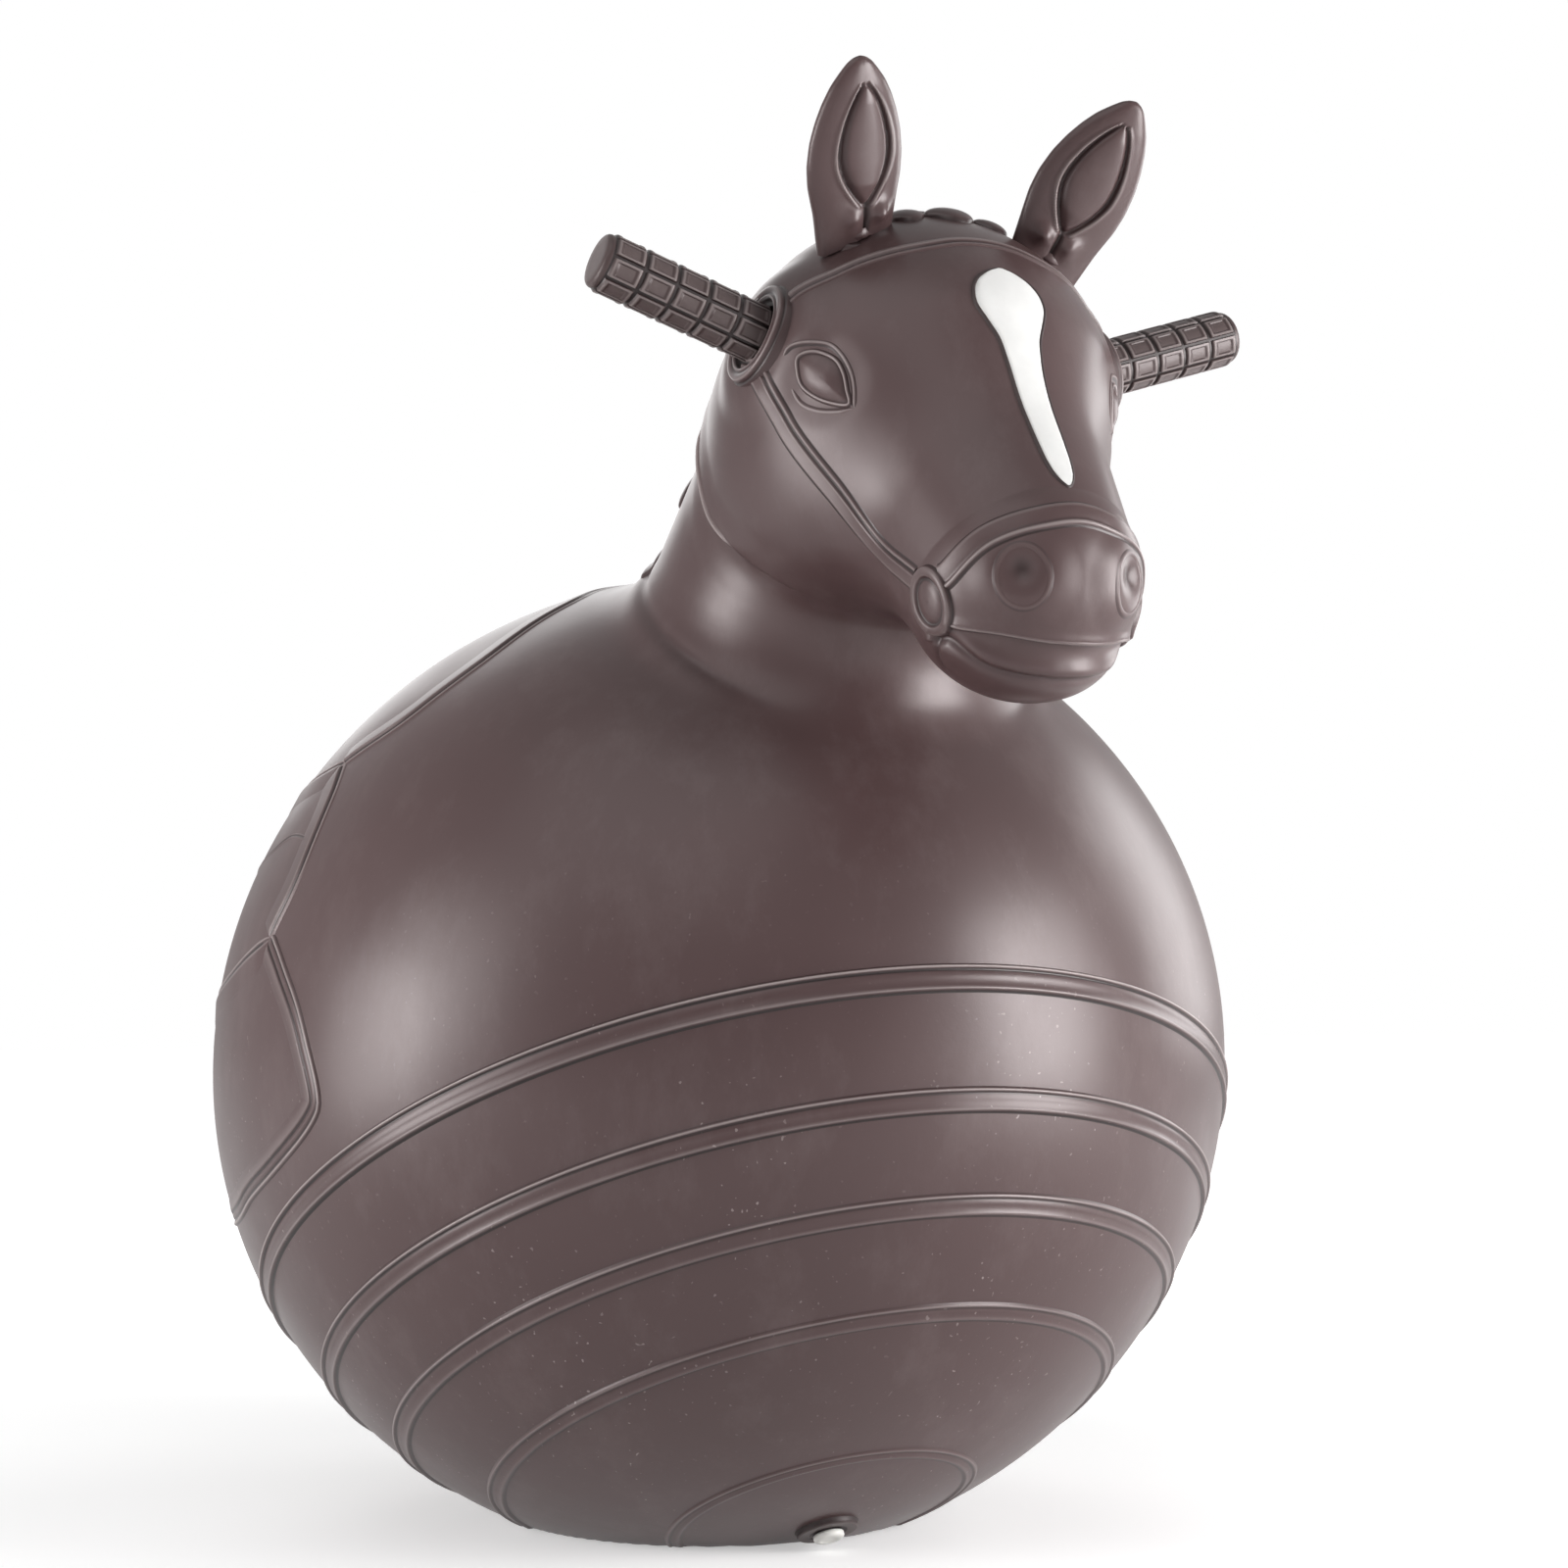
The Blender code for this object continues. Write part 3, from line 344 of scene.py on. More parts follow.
def relief(points):
    """How far the face's modelling stands off the plain form, and the painted shade laid in its hollows and
    grooves.
    """
    rise = np.zeros(len(points))
    shade = np.zeros(len(points))
    near = np.linalg.norm(points - HEAD, axis=1) < 0.24
    p = points[near].copy()
    if len(p) == 0:
        return rise, shade
    p[:, 0] = -np.abs(p[:, 0])
    d = np.zeros(len(p))
    s = np.zeros(len(p))
    # nostril: a low round pad with a soft pit, deepest above its middle, with painted shade in the pit
    q = p - NOSTRIL_MID
    r = np.linalg.norm(q, axis=1)
    pit = np.linalg.norm(q - 3.5 * MM * NOSTRIL_UP, axis=1)
    d += 2.2 * MM * ramp(r, 26 * MM, 7 * MM) - 4.0 * MM * bell(pit, 7.5 * MM)
    s -= 0.60 * bell(pit, 4.5 * MM)
    # upper lip over the lower one, the lower lip's roll, the jowl's edge and the crease at the lip's
    # corner, with painted shade along their grooves; the lips run out under the rosette
    bare = ramp(np.linalg.norm(p - ROSETTE_MID, axis=1), 10 * MM, 17 * MM)
    for line, act in ((MOUTH_LINE, "lip"), (LIP_LINE, "roll"), (JAW_LINE, "jaw"), (CREASE_LINE, "crease")):
        low = line.min(axis=0) - 0.03
        high = line.max(axis=0) + 0.03
        some = np.all((p > low) & (p < high), axis=1)
        if not some.any():
            continue
        a, share = beside(p[some], line)
        fade = bare[some]
        if act == "lip":
            d[some] += 0.9 * MM * bell(a + 2.0 * MM, 2.4 * MM) * fade
            d[some] -= 2.4 * MM * ramp(a, -0.8 * MM, 1.2 * MM) * ramp(a, 14 * MM, 3 * MM) * fade
            s[some] -= 0.25 * bell(a - 1.2 * MM, 1.6 * MM) * fade
        elif act == "roll":
            d[some] += (1.3 * MM * bell(a + 4.5 * MM, 3.6 * MM) - 1.6 * MM * bell(a, 2.0 * MM)) * fade
            s[some] -= 0.34 * bell(a, 1.9 * MM) * fade
        elif act == "jaw":
            fade = ramp(share, 1.0, 0.55)
            d[some] += (1.7 * MM * ramp(a, 0.3 * MM, -1.2 * MM) * ramp(a, -18 * MM, -2 * MM)
                        - 1.8 * MM * ramp(a, -1.2 * MM, 0.5 * MM) * ramp(a, 20 * MM, 3 * MM)) * fade
            s[some] -= 0.22 * bell(a - 1.6 * MM, 2.2 * MM) * fade
        else:
            fade = fade * ramp(share, 1.0, 0.7)
            d[some] -= 1.0 * MM * bell(a, 1.5 * MM) * fade
            s[some] -= 0.35 * bell(a, 1.3 * MM) * fade
    # crease where the ball's crown closes round the neck, running out towards the chest, with painted shade
    # in it
    ahead = (p - BALL) @ NECK_FRONT
    fade = ramp(ahead / np.hypot(ahead, p[:, 0]), 0.93, 0.45)
    a = (p - BALL) @ UP_NECK - 0.2455 + 0.08 * ahead
    d += (0.9 * MM * bell(a + 4.5 * MM, 4.5 * MM) - 1.1 * MM * bell(a - 1.0 * MM, 2.8 * MM)) * fade
    s -= 0.16 * bell(a - 0.8 * MM, 2.0 * MM) * fade
    # the head swells to meet the handles' collars
    q = p - COLLAR_FOOT
    along = q @ COLLAR_AXIS
    r = np.linalg.norm(q - along[:, None] * COLLAR_AXIS, axis=1)
    d += 3.0 * MM * ramp(r, 44 * MM, 25 * MM) * (np.abs(along) < 0.04)
    # eye socket
    r = np.linalg.norm((p - EYE_MID) / np.array([1.0, 1.0, 0.9]), axis=1)
    d -= 1.2 * MM * ramp(r, 26 * MM, 12 * MM)
    rise[near] = d
    shade[near] = s
    return rise, shade


def raised(p, height):
    """Points at a height over the modelled skin, pressed flat on the floor."""
    out = p + steepest(p) * (relief(p)[0] + height)[:, None]
    out[:, 2] = np.maximum(out[:, 2], 0.0)
    return out


# Pieces

def piece(name, verts, faces, material, body, shade, sharp=None):
    """A mesh that rides on a body; faces are arrays of quads or triangles."""
    mesh = bpy.data.meshes.new(name)
    loops = np.concatenate([f.ravel() for f in faces]).astype(np.int32)
    sizes = np.concatenate([np.full(len(f), f.shape[1]) for f in faces]).astype(np.int32)
    mesh.vertices.add(len(verts))
    mesh.vertices.foreach_set("co", np.asarray(verts, np.float32).ravel())
    mesh.loops.add(len(loops))
    mesh.loops.foreach_set("vertex_index", loops)
    mesh.polygons.add(len(sizes))
    mesh.polygons.foreach_set("loop_start", np.concatenate([[0], np.cumsum(sizes)[:-1]]).astype(np.int32))
    mesh.polygons.foreach_set("use_smooth", np.ones(len(sizes), bool))
    mesh.update(calc_edges=True)
    mesh.validate()
    if sharp is not None:
        mesh.set_sharp_from_angle(angle=radians(sharp))
    tone = mesh.attributes.new("shade", "FLOAT", "POINT")
    tone.data.foreach_set("value", np.asarray(shade, np.float32))
    mesh.materials.append(material)
    thing = bpy.data.objects.new(name, mesh)
    bpy.context.scene.collection.objects.link(thing)
    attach(thing, body)
    return thing


def grid_quads(rows, cols, wrap, turn=False):
    i = np.arange(rows - 1)[:, None] * cols
    j = np.arange(cols if wrap else cols - 1)[None]
    k = (j + 1) % cols
    quads = np.stack([i + j, i + k, i + cols + k, i + cols + j], -1).reshape(-1, 4)
    return quads[:, ::-1] if turn else quads


class Pile:
    """Gathers the grids of one piece."""

    def __init__(self):
        self.verts = []
        self.faces = []
        self.shades = []
        self.count = 0

    def add(self, verts, quads, shade=None, laid=False):
        if laid:
            # turn the faces to look outwards from the skin below them
            a, b, c, d = (verts[quads[:, k]] for k in range(4))
            if np.sum(np.cross(c - a, d - b) * steepest(0.25 * (a + b + c + d))) < 0.0:
                quads = quads[:, ::-1]
        self.verts.append(verts)
        self.faces.append(quads + self.count)
        self.shades.append(np.zeros(len(verts)) if shade is None else shade)
        self.count += len(verts)

    def rows(self, rows, tones, wrap=True, laid=False):
        quads = grid_quads(len(rows), len(rows[0]), wrap)
        self.add(np.concatenate(rows), quads, np.concatenate(tones), laid)

    def made(self, name, material, body, sharp=None):
        return piece(name, np.concatenate(self.verts), self.faces, material, body,
                     np.concatenate(self.shades), sharp)


def strip(pile, line, profile, closed=False, ease=0.0):
    """A moulded band along a line: profile rows are (offset, height, shade), offsets and heights in mm;
    shade below 0 is painted shade, above 0 a painted highlight.
    """
    if closed:
        run = np.roll(line, -1, axis=0) - np.roll(line, 1, axis=0)
    else:
        run = np.gradient(line, axis=0)
    side = np.cross(run, steepest(line))
    side /= np.linalg.norm(side, axis=1)[:, None]
    size = np.ones(len(line))
    if ease > 0.0 and not closed:
        far = run_of(line)
        size = np.sqrt(np.clip(np.minimum(far, far[-1] - far) / ease, 0.0, 1.0))
    rows = []
    tones = []
    for u, h, tone in profile:
        p = settled(line + side * (u * MM * (0.25 + 0.75 * size))[:, None])
        rows.append(raised(p, MM * (h * size - 0.15 * (1.0 - size))))
        tones.append(np.full(len(line), tone))
    pile.rows(rows, tones, closed, laid=True)


def frame_on(axis):
    """Columns across, forward and along an axis."""
    z = unit(axis)
    y = unit(FORWARD - z * (FORWARD @ z))
    return np.stack([np.cross(y, z), y, z], 1)


def circle(origin, basis, a, r, h):
    """Points round an axis, radius and height in mm."""
    local = np.stack([r * np.cos(a), r * np.sin(a), np.full(len(a), h)], 1) * MM
    return origin + local @ basis.T


def turned(pile, profile, origin, axis, n, shade=None):
    """Surface of revolution through (radius, height) pairs in mm, with painted shade and highlight on the
    rings where given.
    """
    basis = frame_on(axis)
    a = TAU * np.arange(n) / n
    rows = []
    tones = []
    for k, (r, h) in enumerate(profile):
        rows.append(circle(origin, basis, a, r, h))
        tones.append(np.full(n, 0.0 if shade is None else shade[k]))
    pile.rows(rows, tones)


# Materials

def linear(r, g, b):
    out = []
    for c in (r, g, b):
        c = c / 255.0
        out.append(c / 12.92 if c <= 0.04045 else ((c + 0.055) / 1.055) ** 2.4)
    return (*out, 1.0)


def fill(node, values):
    for key, value in values.items():
        node.inputs[key].default_value = value


class Nodes:
    """Short hand for building a material's node tree."""

    def __init__(self, name):
        self.material = bpy.data.materials.new(name)
        self.material.use_nodes = True
        self.tree = self.material.node_tree
        self.shader = self.tree.nodes["Principled BSDF"]

    def add(self, kind, **settings):
        node = self.tree.nodes.new(kind)
        for key, value in settings.items():
            setattr(node, key, value)
        return node

    def wire(self, source, target):
        self.tree.links.new(source, target)

    def noise(self, scale, detail, rough, stretch=None):
        place = self.add("ShaderNodeTexCoord")
        node = self.add("ShaderNodeTexNoise")
        fill(node, {"Scale": scale, "Detail": detail, "Roughness": rough})
        source = place.outputs["Object"]
        if stretch is not None:
            shift = self.add("ShaderNodeMapping")
            fill(shift, {"Scale": stretch})
            self.wire(source, shift.inputs["Vector"])
            source = shift.outputs["Vector"]
        self.wire(source, node.inputs["Vector"])
        return node.outputs["Fac"]

    def spread(self, source, low, high, out_low=0.0, out_high=1.0):
        node = self.add("ShaderNodeMapRange")
        fill(node, {"From Min": low, "From Max": high, "To Min": out_low, "To Max": out_high})
        self.wire(source, node.inputs["Value"])
        return node.outputs["Result"]

    def mixed(self, share, a, b):
        node = self.add("ShaderNodeMix", data_type="RGBA", blend_type="MIX")
        for value, socket in ((share, node.inputs[0]), (a, node.inputs[6]), (b, node.inputs[7])):
            if isinstance(value, (int, float, tuple)):
                socket.default_value = value
            else:
                self.wire(value, socket)
        return node.outputs[2]

    def bump(self, layers):
        last = None
        for height, strength, distance in layers:
            node = self.add("ShaderNodeBump")
            fill(node, {"Strength": strength, "Distance": distance})
            self.wire(height, node.inputs["Height"])
            if last is not None:
                self.wire(last, node.inputs["Normal"])
            last = node.outputs["Normal"]
        self.wire(last, self.shader.inputs["Normal"])


def pvc(name, light, dark, rough, specks=True):
    """Satin vinyl: cloudy tone, rubbed patches, dust specks, fine scratches, painted shade in hollows and
    painted highlights on edges.
    """
    m = Nodes(name)
    cloud = m.spread(m.noise(4.0, 4.0, 0.5), 0.30, 0.70)
    colour = m.mixed(cloud, dark, light)
    rubbed = m.spread(m.noise(30.0, 6.0, 0.7, (1.0, 1.0, 0.5)), 0.50, 0.80, 0.0, 0.14)
    colour = m.mixed(rubbed, colour, linear(150, 136, 135))
    if specks:
        # dust clings to the lower half, in drifts
        place = m.add("ShaderNodeTexCoord")
        axes = m.add("ShaderNodeSeparateXYZ")
        m.wire(place.outputs["Object"], axes.inputs[0])
        low = m.spread(axes.outputs["Z"], 0.34, 0.20)
        dust = m.spread(m.noise(520.0, 0.0, 0.4), 0.79, 0.84, 0.0, 0.55)
        for where in (low, m.spread(m.noise(12.0, 3.0, 0.6), 0.46, 0.62, 0.15, 1.0)):
            gate = m.add("ShaderNodeMath", operation="MULTIPLY")
            m.wire(dust, gate.inputs[0])
            m.wire(where, gate.inputs[1])
            dust = gate.outputs[0]
        colour = m.mixed(dust, colour, linear(178, 165, 163))
    # the shade attribute is painted light: below 0 it paints shade into grooves and hollows, above 0 it
    # paints highlights on ridges and edges
    tone = m.add("ShaderNodeAttribute", attribute_name="shade")
    hollow = m.spread(tone.outputs["Fac"], 0.0, -1.0, 0.0, 0.95)
    colour = m.mixed(hollow, colour, linear(24, 16, 16))
    painted_highlight = m.spread(tone.outputs["Fac"], 0.0, 1.0, 0.0, 0.65)
    colour = m.mixed(painted_highlight, colour, linear(196, 184, 182))
    m.wire(colour, m.shader.inputs["Base Color"])
    gloss = m.spread(m.noise(16.0, 2.0, 0.5), 0.25, 0.75, rough - 0.03, rough + 0.04)
    m.wire(gloss, m.shader.inputs["Roughness"])
    fill(m.shader, {"Specular IOR Level": 0.5, "Specular Tint": (1.0, 0.93, 0.93, 1.0)})
    m.bump(((m.noise(40.0, 3.0, 0.5), 0.06, 0.0010), (m.noise(900.0, 2.0, 0.5), 0.06, 0.0003),
            (m.noise(420.0, 2.0, 0.5, (1.0, 0.06, 1.0)), 0.05, 0.0004)))
    return m.material


def film(name, colour, rough):
    """Smooth pale vinyl with a faint mottle."""
    m = Nodes(name)
    cloud = m.spread(m.noise(60.0, 4.0, 0.6), 0.35, 0.65)
    shade = tuple(0.94 * c for c in colour[:3]) + (1.0,)
    m.wire(m.mixed(cloud, shade, colour), m.shader.inputs["Base Color"])
    gloss = m.spread(m.noise(90.0, 3.0, 0.5), 0.3, 0.7, rough - 0.04, rough + 0.06)
    m.wire(gloss, m.shader.inputs["Roughness"])
    m.bump(((m.noise(260.0, 2.0, 0.5), 0.05, 0.0004),))
    return m.material


SKIN = pvc("brown_pvc", linear(85, 66, 66), linear(76, 58, 58), 0.33)
GRIP = pvc("grip_pvc", linear(74, 59, 58), linear(64, 50, 50), 0.40, False)
CORE = pvc("core_pvc", linear(76, 62, 62), linear(66, 53, 53), 0.48, False)
DARK = pvc("dark_line_pvc", linear(52, 40, 40), linear(44, 34, 34), 0.50, False)
WHITE = film("white_film", linear(249, 248, 246), 0.42)
PLUG = film("white_plug", linear(244, 243, 238), 0.35)


# The skin: one continuous surface, from under the ball up the neck and out along the muzzle

SKIN_ROUND = 420
BALL_ROWS = 170
NECK_ROWS = 40
HEAD_ROWS = 200
TIP_ROWS = 120
SEAM_ANGLE = 0.53
COLLAR_OPENING = 19.5 * MM
VALVE_OPENING = 12.0 * MM


def skin_rows(n):
    """Rows of points round the skin: up the ball, up the neck, round the head and over the muzzle's end."""
    turn = TAU * (np.arange(n) + 0.5) / n
    starts = []
    ways = []

    def ring(front):
        return np.cos(turn)[:, None] * front + np.sin(turn)[:, None] * ACROSS

    def row(middle, way):
        starts.append(np.repeat(middle[None], n, axis=0))
        ways.append(way)

    side = (UP_NECK * cos(SEAM_ANGLE) + ACROSS * sin(SEAM_ANGLE))[None]
    seam = float((cast(BALL[None], side)[0] - BALL) @ UP_NECK)
    flat = ring(NECK_FRONT)
    # the ball's rows run from its foot up to the neck's first ring
    middle = BALL + UP_NECK * seam
    reach = np.linalg.norm(cast(np.repeat(middle[None], n, axis=0), flat) - BALL - UP_NECK * seam, axis=1)
    begin = np.arctan2(reach, seam)[:, None]
    for share in np.linspace(1.0, 0.0, BALL_ROWS, endpoint=False) ** 1.2:
        a = begin + (radians(179.2) - begin) * share
        row(BALL, np.cos(a) * UP_NECK + np.sin(a) * flat)
    throat = float((THROAT - BALL) @ UP_NECK)
    for h in seam + (throat - seam) * np.linspace(0.0, 1.0, NECK_ROWS, endpoint=False):
        row(BALL + UP_NECK * h, flat)
    # the head's rows swing round the throat
    first = atan2(-UP_NECK[1], UP_NECK[2])
    down = unit(MUZZLE_TIP - MUZZLE_ROOT)
    last = atan2(-down[1], down[2])
    s = np.linspace(0.0, 0.4, 1601)
    for a in np.linspace(first, last, HEAD_ROWS):
        way = point(cos(a), sin(a))
        inside = np.nonzero(skin_form(THROAT + way * s[:, None]) < 0.0)[0]
        run = inside[: np.argmax(np.append(np.diff(inside) > 1, True)) + 1]
        middle = THROAT + way * (0.5 * (s[run[0]] + s[run[-1]]))
        row(middle, ring(-way))
    # the muzzle's end closes as a dome round the last row's middle
    flat = ring(-way)
    for k in range(1, TIP_ROWS + 1):
        a = 0.5 * pi * k / (TIP_ROWS + 0.6)
        row(middle, cos(a) * flat + sin(a) * down)
    return cast(np.concatenate(starts), np.concatenate(ways))


def make_skin():
    n = SKIN_ROUND
    verts = skin_rows(n)
    rise, shade = relief(verts)
    out = verts + steepest(verts) * rise[:, None]
    out[:, 2] = np.maximum(out[:, 2], 0.0)
    rows = len(verts) // n
    quads = grid_quads(rows, n, True, True)
    # open where the handles' collars and the valve sit
    middle = out[quads].mean(axis=1)
    keep = np.ones(len(quads), bool)
    for side in (-1.0, 1.0):
        foot, axis = handle_place(side)
        d = middle - foot
        reach = np.linalg.norm(d - (d @ axis)[:, None] * axis, axis=1)
        keep &= ~((reach < COLLAR_OPENING) & (np.abs(d @ axis) < 0.03))
    keep &= np.linalg.norm(middle - POLE, axis=1) > VALVE_OPENING
    ends = np.stack([out[:n].mean(axis=0), out[-n:].mean(axis=0)])
    j = np.arange(n)
    caps = np.stack([np.full(n, rows * n), j, (j + 1) % n], 1)
    tail = np.stack([np.full(n, rows * n + 1), (rows - 1) * n + (j + 1) % n, (rows - 1) * n + j], 1)
    skin = piece("skin", np.concatenate([out, ends]), [quads[keep], caps, tail], SKIN, "horse",
                 np.concatenate([shade, [0.0, 0.0]]))
    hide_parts("body_skin", "head_skin")


# rib: which edge, offset from it in mm, share of the height, lift in mm, and painted shade below 0 and
# highlight above
RIB_EDGES = ((-1, -1.4, 0.0, -0.3, 0.0), (-1, -0.8, 0.0, 0.02, -0.6), (-1, -0.3, 0.6, 0.0, -0.1),
             (-1, 0.3, 1.0, 0.0, 0.7), (-1, 1.0, 0.9, 0.0, 0.3), (-1, 1.5, 0.3, 0.0, -0.7),
             (-1, 2.3, 0.3, 0.0, -0.7), (-1, 2.8, 0.5, 0.0, 0.0), (0, 0.0, 0.55, 0.0, 0.0),
             (1, -2.2, 0.6, 0.0, 0.0), (1, -1.5, 0.9, 0.0, 0.15), (1, -0.8, 1.0, 0.0, 0.35),
             (1, -0.2, 0.7, 0.0, 0.0), (1, 0.4, 0.0, 0.03, -0.9), (1, 1.2, 0.0, 0.02, -0.8),
             (1, 1.9, 0.0, -0.3, 0.0))


def make_ribs():
    pile = Pile()
    front = np.cross(AXIS, ACROSS)
    turn = TAU * np.arange(SKIN_ROUND)[:, None] / SKIN_ROUND
    for place, width, height, strength in RIBS:
        r = BALL_RADIUS * sqrt(1.0 - place * place)
        ring = BALL + AXIS * (place * BALL_HALF_HEIGHT) + r * (np.cos(turn) * ACROSS + np.sin(turn) * front)
        profile = [(edge * 0.5 * width + u, height * share + lift, tone * strength)
                   for edge, u, share, lift, tone in RIB_EDGES]
        strip(pile, settled(ring), profile, closed=True)
    ribs = pile.made("ribs", SKIN, "horse")


# the saddle stands a little proud behind an engraved line, and its flap has a flat piped edge
# profile rows: offset and height in mm, then painted shade in the grooves (below 0) and painted highlight
# on the ridges (above 0)
SEAM = ((-4.2, -0.3, 0.0), (-3.0, 0.22, 0.0), (-2.1, 0.75, 0.7), (-1.4, 0.55, 0.3), (-0.9, 0.05, -0.9),
        (0.0, 0.02, -1.0), (0.9, 0.08, -0.9), (1.4, 1.0, 0.1), (2.2, 1.25, 0.4), (3.6, 1.1, 0.0),
        (11.0, 0.45, 0.0), (16.0, -0.3, 0.0))
PIPING = ((-5.4, -0.3, -0.1), (-4.8, 0.05, -0.6), (-4.1, 0.95, 0.2), (-3.3, 1.25, 0.75),
          (-2.6, 0.95, 0.2), (-2.2, 0.2, -0.8), (-1.3, 0.2, -0.8), (-0.9, 0.55, 0.0), (1.5, 0.6, 0.0),
          (2.0, 0.1, -0.9), (2.9, 0.1, -0.9), (3.3, 0.8, 0.2), (4.2, 0.8, 0.2), (8.0, 0.4, 0.0),
          (12.0, -0.3, 0.0))
FOLD = ((-1.6, -0.3, 0.0), (-0.8, 0.3, 0.1), (-0.3, 0.05, -0.7), (0.3, 0.05, -0.7), (0.8, 0.45, 0.1),
        (2.4, -0.3, 0.0))


def make_saddle():
    pile = Pile()
    for points, profile, ease, back in (
            (POMMEL, SEAM, 0.0, False), (CANTLE, SEAM, 0.003, False), (FLAP, PIPING, 0.004, False),
            (SEAT, SEAM, 0.003, True), (SEAT_FOLD, FOLD, 0.01, True), (PANEL, SEAM, 0.012, True)):
        line = on_ball(points)
        line, other = both_ways(line[::-1] if back else line)
        if abs(line[0, 0]) < MM:
            # one line over the horse's back
            strip(pile, np.concatenate([other[:-1], line]), profile, ease=ease)
        else:
            strip(pile, line, profile, ease=ease)
            strip(pile, other, profile, ease=ease)
    lines = pile.made("saddle_lines", SKIN, "horse")


# straps: the cheek strap from its back edge to its front, the other two from top to bottom
# their third column is painted shade in the grooves (below 0) and painted highlight on the ridges (above 0)
STRAP = ((6.6, -0.3, 0.0), (5.9, 0.02, -0.85), (5.1, 0.05, -0.85), (4.6, 0.85, 0.1), (4.0, 1.1, 0.35),
         (3.0, 1.0, 0.05), (-0.6, 1.0, 0.0), (-1.4, 1.1, 0.25), (-1.9, 0.7, -0.2), (-2.3, 0.1, -0.9),
         (-3.1, 0.1, -0.9), (-3.5, 0.8, 0.1), (-4.1, 1.1, 0.45), (-4.8, 1.0, 0.25), (-5.3, 0.5, -0.2),
         (-5.7, 0.03, -0.85), (-6.4, 0.02, -0.7), (-7.2, -0.3, 0.0))
NOSE_STRAP = ((-6.6, -0.3, 0.0), (-5.9, 0.03, -0.6), (-5.3, 0.1, -0.6), (-4.8, 0.7, 0.2),
              (-4.0, 0.9, 0.25), (-3.0, 0.75, 0.0), (2.0, 0.6, 0.0), (2.8, 0.3, -0.4), (3.3, 0.5, 0.0),
              (3.9, 1.1, 0.4), (4.6, 1.4, 0.75), (5.3, 1.1, 0.3), (5.8, 0.4, -0.5), (6.3, 0.03, -0.9),
              (7.0, 0.02, -0.6), (7.7, -0.3, 0.0))
BROW_STRAP = ((-4.4, -0.3, 0.0), (-3.4, 0.5, 0.05), (-2.2, 1.0, 0.3), (-1.4, 0.9, 0.45), (-0.5, 0.6, 0.0),
              (0.2, 0.1, -0.6), (1.0, 0.1, -0.5), (1.6, 0.75, 0.1), (2.3, 0.85, 0.2), (3.0, 0.4, 0.0),
              (3.8, -0.3, -0.1))


def make_bridle():
    pile = Pile()
    for line in both_ways(on_head(CHEEK_STRAP)):
        strip(pile, line, STRAP)
    strip(pile, on_head(NOSEBAND, both=True), NOSE_STRAP)
    strip(pile, on_head(BROWBAND, both=True), BROW_STRAP)
    straps = pile.made("bridle", SKIN, "horse")


# bridle rosette: half sizes in mm; share of them, height in mm and painted shade and highlight, from its
# foot to its sunken disc
ROSETTE_WIDE = 12.0
ROSETTE_TALL = 15.5
ROSETTE_STEPS = ((1.1, -0.3, -0.2), (1.03, 0.1, -0.8), (0.99, 1.5, -0.1), (0.95, 2.3, 0.3),
                 (0.88, 2.5, 0.15), (0.76, 2.4, 0.0), (0.71, 2.1, 0.2), (0.68, 1.4, -0.3),
                 (0.65, 0.7, -0.9), (0.6, 0.8, -0.6), (0.55, 1.2, 0.0), (0.3, 1.5, 0.0), (0.02, 1.6, 0.0))


def make_rosettes():
    pile = Pile()
    n = 72
    for place in (ROSETTE_MID, swapped(ROSETTE_MID)):
        rows = []
        tones = []
        for share, height, tone in ROSETTE_STEPS:
            rows.append(raised(oval(place, ROSETTE_WIDE * share, ROSETTE_TALL * share, n), height * MM))
            tones.append(np.full(n, tone))
        pile.rows(rows, tones, laid=True)
    rings = pile.made("rosettes", SKIN, "horse")


NOSTRIL_WIDE = 11.2
NOSTRIL_TALL = 13.4
# rows: offset and height in mm, then painted shade (below 0) and painted highlight (above 0)
NOSTRIL_RING = ((-1.9, -0.3, 0.0), (-1.1, 0.12, 0.0), (-0.3, 0.35, 0.08), (0.3, 0.3, 0.05),
                (0.8, 0.08, -0.4), (1.4, 0.03, -0.4), (2.1, -0.3, 0.0))
LIP_EDGE = ((-2.4, -0.3, 0.0), (-1.6, 0.2, 0.1), (-0.8, 0.55, 0.45), (-0.2, 0.4, 0.1), (0.3, 0.03, -0.75),
            (1.1, 0.03, -0.6), (1.9, -0.3, 0.0))
JOWL_EDGE = ((-3.4, -0.3, 0.0), (-2.3, 0.35, 0.2), (-1.3, 1.2, 1.0), (-0.5, 1.05, 0.6), (0.3, 0.1, -1.2),
             (1.7, 0.03, -1.1), (3.2, -0.3, -0.3))


def make_face_lines():
    """The thin moulded lines of nostrils, mouth and the jowl's edge."""
    pile = Pile()
    jowl = JAW_LINE[: int(0.62 * len(JAW_LINE))]
    for place, edge in zip((NOSTRIL_MID, swapped(NOSTRIL_MID)), both_ways(jowl)):
        strip(pile, oval(place, NOSTRIL_WIDE, NOSTRIL_TALL, 96), NOSTRIL_RING, closed=True)
        strip(pile, edge, JOWL_EDGE, ease=0.014)
    strip(pile, on_head(MOUTH, both=True), LIP_EDGE, ease=0.01)
    lines = pile.made("face_lines", SKIN, "horse")


EYE_STEP = 0.8 * MM
